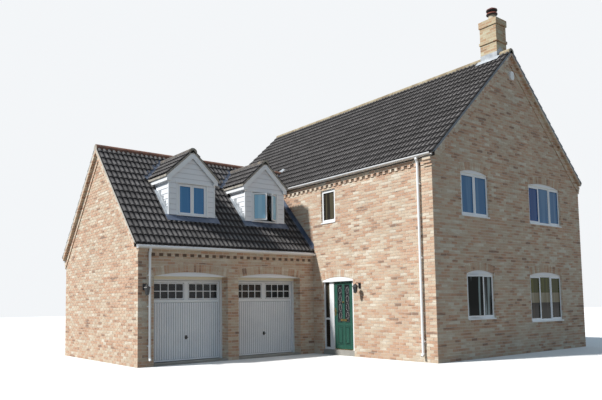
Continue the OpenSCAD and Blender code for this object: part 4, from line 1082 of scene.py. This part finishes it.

# Garage doors: white panels with close upright ribs under a rail, glazing bars four by two in each light,
# a black lock handle low in the middle, painted shade between the ribs, and painted warm bounce light on
# the soffit and the frame head over them.
garage_look = {"fine": 0.08, "broad": 0.08, "fine_scale": 120.0, "bump": 0.0004}
garage_white = painted("garage_white", (0.80, 0.81, 0.84), 0.4, {"scale": 3.0, "detail": 4.0},
                       [(0.3, (0.82, 0.85, 0.90)), (0.6, (0.88, 0.91, 0.95))], **garage_look)
# The leaf's face, seen between the ribs and rails, is painted grey as painted shade in the grooves
groove_shade, tree, shader = finish("garage_groove_shade", (0.80, 0.81, 0.84), 0.5)
leaf_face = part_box("garage_left_door")[0].y
colour = ramp(tree, fraction(tree, 1, leaf_face + 0.001, leaf_face + 0.003),
              [(0.0, (0.36, 0.38, 0.42)), (1.0, (0.85, 0.87, 0.91))])
grained(tree, shader, colour, **garage_look)
dress(groove_shade, "garage_left_door", "garage_right_door")
# Frame heads above 2.185 m are painted cream as painted warm bounce light from the ground; the rest is white
head_warm_bounce, tree, shader = finish("head_warm_bounce", (0.86, 0.86, 0.84), 0.5)
colour = beyond(tree, split(tree, place_of(tree))[2], 2.185, (0.84, 0.86, 0.88), (0.90, 0.86, 0.74))
grained(tree, shader, colour, fine=0.06, broad=0.08, fine_scale=80.0, bump=0.0004)
dress(head_warm_bounce, "garage_door_frames")
# Downward faces of the arch infills are painted cream as painted warm bounce light from the ground
soffits_with_bounce, tree, shader = finish("soffit_warm_bounce", (0.82, 0.84, 0.87), 0.4)
down = calc(tree, "LESS_THAN", facing(tree)[2], -0.5)
grained(tree, shader, blend(tree, down, (0.88, 0.91, 0.96), (0.95, 0.90, 0.76)), fine=0.05, broad=0.06,
        fine_scale=80.0, bump=0.0004)
dress(soffits_with_bounce, "arch_infills")
lock_black = mottled("lock_black", [(0.010, 0.010, 0.011), (0.022, 0.022, 0.024)], 12.0, 0.2, 0.35)

rib_count, rib_gap, stile, bar = 29, 0.007, 0.055, 0.011
for side in ("left", "right"):
    body = f"garage_{side}_door"
    low, high = (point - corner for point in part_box(body))
    glass_low, glass_high = (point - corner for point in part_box(f"garage_{side}_glass"))
    face, middle = low.y, (low.x + high.x) / 2
    left, right, top = low.x + stile, high.x - stile, high.z - 0.03
    panel_top, light_low, light_high = glass_low.z - 0.105, glass_low.z - 0.022, glass_high.z + 0.022
    pitch = (right - left) / rib_count
    ribs = [((left + k * pitch + rib_gap, face - 0.007, low.z + 0.05),
             (left + (k + 1) * pitch - rib_gap, face + 0.002, panel_top)) for k in range(rib_count)]
    bars(f"garage_{side}_ribs", ribs, garage_white, "garage_door", body, 0.006)
    edge_l, edge_r, edge_z = low.x + 0.004, high.x - 0.004, low.z + 0.004
    in_l, in_r = left - 0.006, right + 0.006
    rails = [((x0, face - 0.010, z0), (x1, face + 0.002, z1)) for x0, x1, z0, z1 in (
        (edge_l, in_l, edge_z, top), (in_r, edge_r, edge_z, top), (in_l, in_r, edge_z, low.z + 0.044),
        (in_l, in_r, panel_top + 0.010, light_low), (in_l, in_r, light_high, top),
        (middle - 0.058, middle + 0.058, light_low, light_high))]
    light_w = (glass_high.x - glass_low.x - 0.160) / 2
    for x in (glass_low.x, middle + 0.080):
        for k in range(5):
            at = x + light_w * k / 4
            rails.append(((at - bar, face - 0.006, glass_low.z), (at + bar, face + 0.012, glass_high.z)))
        for k in range(3):
            at = glass_low.z + (glass_high.z - glass_low.z) * k / 2
            rails.append(((x, face - 0.005, at - bar), (x + light_w, face + 0.012, at + bar)))
    bars(f"garage_{side}_rails", rails, garage_white, "garage_door", body, 0.004)
    plate = ((middle - 0.030, face - 0.014, 0.610), (middle + 0.030, face - 0.004, 0.710))
    handle = ((middle - 0.050, face - 0.034, 0.648), (middle + 0.050, face - 0.014, 0.672))
    bars(f"garage_{side}_lock", [plate, handle], lock_black, "black_metal", body, 0.006)

# Front door: dark green paint, leaded ornament in the two tall panes, brass, and a brass sill bar.
# Near-black bars paint the grooves' shade, and raised bars make the panels and the edges of the panes.
green = painted("green_paint", (0.03, 0.16, 0.12), 0.32,
                {"scale": 1.0, "detail": 4.0, "stretch": (60, 60, 3)},
                [(0.3, (0.018, 0.078, 0.058)), (0.7, (0.032, 0.115, 0.085))],
                fine=0.08, broad=0.1, bump=0.0006)
dress(green, "front_door")
brass = mottled("brass", [(0.52, 0.33, 0.10), (0.78, 0.58, 0.24)], 30.0, 0.15, 0.28, metallic=1.0)
dress(brass, "front_door_furniture")
came = mottled("came", [(0.45, 0.46, 0.46), (0.62, 0.63, 0.63)], 40.0, 0.1, 0.4)
shade_green = mottled("shade_green", [(0.006, 0.026, 0.020), (0.012, 0.042, 0.032)], 9.0, 0.1, 0.4)
leaf_low, leaf_high = (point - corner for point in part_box("front_door"))
pane_low, pane_high = (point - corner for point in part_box("front_door_glass"))
pane_w, panel_w, panel_z = 0.150, 0.230, (0.300, 0.845)


def ribbon(path, width, plane_x, points, faces):
    # A flat came along a path of (y, z) points, facing the entrance side
    first = len(points)
    for k, (y, z) in enumerate(path):
        before, after = path[max(k - 1, 0)], path[min(k + 1, len(path) - 1)]
        across = Vector((after[1] - before[1], before[0] - after[0])).normalized() * width / 2
        points.append((plane_x, y + across.x, z + across.y))
        points.append((plane_x, y - across.x, z - across.y))
    for here in range(first, len(points) - 2, 2):
        faces.append((here, here + 1, here + 3, here + 2))


def leading(name, node, body, curls=4):
    # Pairs of curved cames, one above the other in each pane
    middle = sum(point.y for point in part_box(node)) / 2
    low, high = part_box(node)
    across = [v.co.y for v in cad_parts[node].data.vertices]
    z0, z1 = low.z + 0.030, high.z - 0.030
    points, faces = [], []
    for ys in ([y for y in across if y < middle], [y for y in across if y > middle]):
        y0, y1 = min(ys) + 0.016, max(ys) - 0.016
        mid, half, tall = (y0 + y1) / 2, (y1 - y0) / 2, (z1 - z0) / curls
        for k in range(curls):
            foot = z0 + tall * (k + 0.5)
            for side in (-1, 1):
                curl = [(mid + side * half * (0.15 + 0.75 * math.sin(math.pi * t)),
                         foot + tall * (t - 0.5) * 0.86) for t in (j / 10 for j in range(11))]
                ribbon(curl, 0.005, low.x - 0.002, points, faces)
    piece(name, points, faces, came, "steel", body, closed=False)


leading("door_leading", "front_door_glass", "front_door")


def ring(y0, y1, z0, z1, width, out):
    # Four bars round a field on the leaf's outer face
    return [((leaf_low.x - out, *low), (leaf_low.x + 0.002, *high)) for low, high in (
        ((y0, z0), (y1, z0 + width)), ((y0, z1 - width), (y1, z1)),
        ((y0, z0 + width), (y0 + width, z1 - width)), ((y1 - width, z0 + width), (y1, z1 - width)))]


grooves, fields, surrounds = [], [], []
for middle in (pane_low.y + pane_w / 2, pane_high.y - pane_w / 2):
    y0, y1 = middle - panel_w / 2, middle + panel_w / 2
    grooves += ring(y0, y1, *panel_z, 0.014, 0.002)
    grooves += ring(y0 + 0.040, y1 - 0.040, panel_z[0] + 0.040, panel_z[1] - 0.040, 0.010, 0.009)
    fields.append(((leaf_low.x - 0.008, y0 + 0.050, panel_z[0] + 0.050),
                   (leaf_low.x + 0.002, y1 - 0.050, panel_z[1] - 0.050)))
    fields += ring(y0, y1, pane_low.z - 0.050, pane_high.z + 0.030, 0.016, 0.010)
    surrounds += ring(y0 + 0.016, y1 - 0.016, pane_low.z - 0.034, pane_high.z + 0.014, 0.026, 0.003)
# Painted shade: near-black green bars for the shaded grooves round the panels
bars("door_grooves", grooves, shade_green, "green_door", "front_door", 0.002, 0)
bars("door_mouldings", fields, green, "green_door", "front_door", 0.007, 0)
bars("door_light_edges", surrounds, door_pane, "glass", "front_door", 0.002, 0)
door_mid, door_radius = doorway[0] + doorway[1] / 2, (doorway[1] ** 2 / 4 + door_rise ** 2) / (2 * door_rise)


def door_arch(y):
    return doorway[3] + door_rise - door_radius + math.sqrt(door_radius ** 2 - (y - door_mid) ** 2)


head_board, head_parts, head_foot, head_gap = [], 16, 2.114, 0.002
for k in range(head_parts):
    y0, y1 = (doorway[0] + 0.003 + (doorway[1] - 0.006) * j / head_parts for j in (k, k + 1))
    head_board.append(([(y0, head_foot), (y1, head_foot), (y1, door_arch(y1) - head_gap),
                        (y0, door_arch(y0) - head_gap)], -0.002, 0.060))
prisms("door_head_board", 0, head_board, frames_white, "door_frame")
bars("door_threshold", [((leaf_low.x - 0.035, leaf_low.y, 0.166), (leaf_low.x + 0.010, leaf_high.y, 0.177))],
     brass, "brass", "house", 0.003, 0)

# Chimney and lanterns: a mortar flaunching holds the pale pot and its dark cowl, and swan-neck arms hold
# six-sided lamps. Rooms have a concrete floor below and planks above.
clay, tree, shader = finish("clay", (0.45, 0.16, 0.08), 0.8)
pot_low, pot_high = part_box("chimney_pot")
grained(tree, shader, ramp(tree, fraction(tree, 2, pot_low.z, pot_high.z), [
    (0.00, (0.50, 0.44, 0.33)), (0.44, (0.52, 0.45, 0.34)), (0.47, (0.030, 0.018, 0.016)),
    (0.54, (0.030, 0.018, 0.016)), (0.56, (0.34, 0.085, 0.050)), (0.62, (0.20, 0.050, 0.032)),
    (0.66, (0.015, 0.010, 0.010)), (0.80, (0.015, 0.010, 0.010)), (0.86, (0.17, 0.035, 0.025)),
    (0.97, (0.040, 0.016, 0.014))]), fine=0.35, broad=0.3)


def turned(section, centre, around, points, faces):
    # A section of radius and height turned about an upright axis, added to a mesh in the making
    first, count = len(points), len(section)
    for j in range(around):
        angle = math.tau * j / around
        points += [centre + Vector((r * math.cos(angle), r * math.sin(angle), z)) for r, z in section]
        here, there = first + j * count, first + (j + 1) % around * count
        faces += [(here + k, there + k, there + (k + 1) % count, here + (k + 1) % count)
                  for k in range(count)]


def welded(name, points, faces, material, slot, node):
    # Joins the points that meet on an axis, and lets the piece stand for a node
    made = piece(name, points, faces, material, slot, closed=False)
    mesh = bmesh.new()
    mesh.from_mesh(made.data)
    bmesh.ops.remove_doubles(mesh, verts=mesh.verts, dist=1e-5)
    bmesh.ops.dissolve_degenerate(mesh, edges=mesh.edges, dist=1e-6)
    mesh.to_mesh(made.data)
    mesh.free()
    outwards(made)
    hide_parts(node)


points, faces = [], []
pot_mid = (pot_low + pot_high) / 2
foot = Vector((pot_mid.x, pot_mid.y, pot_low.z))
turned([(0.095, 0), (0.150, 0), (0.150, 0.030), (0.118, 0.060), (0.104, 0.215), (0.090, 0.215)],
       foot, 36, points, faces)
turned([(0, 0.150), (0.088, 0.150), (0.098, 0.215), (0.160, 0.222), (0.165, 0.240), (0.158, 0.262),
        (0.112, 0.276), (0.112, 0.330), (0.160, 0.340), (0.165, 0.358), (0.158, 0.382), (0.070, 0.434),
        (0, 0.440)], foot, 36, points, faces)
welded("pot_and_cowl", points, faces, clay, "clay_pot", "chimney_pot")

around, flaunch_inset, flaunch_top = 24, 0.012, 0.150
square, square_top, circle = [], [], []
top = Vector((pot_mid.x, pot_mid.y, corner.z + stack_high.z))
for k in range(around):
    angle = math.tau * (k + 0.5) / around
    aim = Vector((math.cos(angle), math.sin(angle), 0))
    reach = min(((stack_high[axis] - stack_low[axis]) / 2 - flaunch_inset) / max(abs(aim[axis]), 1e-6)
                for axis in (0, 1))
    square.append(top + aim * reach)
    square_top.append(top + aim * reach + upright * 0.012)
    circle.append(top + aim * flaunch_top + upright * 0.060)
points, faces = [], []
add_shell(points, faces, [square, square_top, circle], (False, False))
piece("flaunching", points, faces, ridge_mortar, "ridge_tile", closed=False)

black = mottled("black_metal", [(0.010, 0.010, 0.011), (0.030, 0.030, 0.032)], 10.0, 0.2, 0.4)
dress(black, "garage_left_pins", "garage_right_pins")


def tube(path, radius, sides, points, faces):
    # A closed round bar along a path, added to a mesh in the making
    rings = []
    for k, point in enumerate(path):
        ahead = (path[min(k + 1, len(path) - 1)] - path[max(k - 1, 0)]).normalized()
        across = ahead.cross(upright)
        across = across.normalized() if across.length > 1e-4 else east
        up = across.cross(ahead)
        rings.append([point + across * radius * math.cos(math.tau * j / sides)
                      + up * radius * math.sin(math.tau * j / sides) for j in range(sides)])
    add_shell(points, faces, rings)


points, faces = [], []
for at, out in ((Vector((0, 2.640, 1.950)), -east), (Vector((-wing_l + 0.160, wing_y, 1.950)), -north)):
    wall_face, side = corner + at + out * 0.010, out.cross(upright)
    for half_w, low, high, depth in ((0.042, -0.060, 0.100, 0.012), (0.030, -0.046, 0.086, 0.022)):
        plate = [wall_face + side * a + upright * z for a, z in rectangle(-half_w, half_w, low, high)]
        add_shell(points, faces, [plate, [p + out * depth for p in plate]])
    arc = [wall_face + out * (0.020 + 0.075 * (1 - math.cos(t))) + upright * (0.030 + 0.070 * math.sin(t))
           for t in (math.pi * j / 12 for j in range(13))]
    tube(arc, 0.007, 8, points, faces)
    turned([(0, 0), (0.012, 0), (0.030, 0.016), (0.048, 0.024), (0.078, 0.190), (0.092, 0.192),
            (0.086, 0.204), (0.030, 0.250), (0.016, 0.262), (0, 0.272)],
           wall_face + out * 0.170 - upright * 0.200, 6, points, faces)
welded("lamps", points, faces, black, "black_metal", "lanterns")
dress(mottled("concrete", [(0.30, 0.29, 0.27), (0.40, 0.39, 0.36)], 2.0, 0.3), "ground_floor")
plank, tree, shader = finish("plank", (0.35, 0.24, 0.15), 0.7)
planks = put(tree, "ShaderNodeTexWave", {"Vector": place_of(tree), "Scale": 3.6, "Distortion": 0.4,
                                         "Detail": 3.0}, wave_profile="SAW")
grained(tree, shader, ramp(tree, planks.outputs[1], [(0.0, (0.10, 0.06, 0.04)), (0.06, (0.34, 0.23, 0.14)),
                                                     (1.0, (0.42, 0.30, 0.19))]), fine=0.3, broad=0.3)
dress(plank, "first_floor")
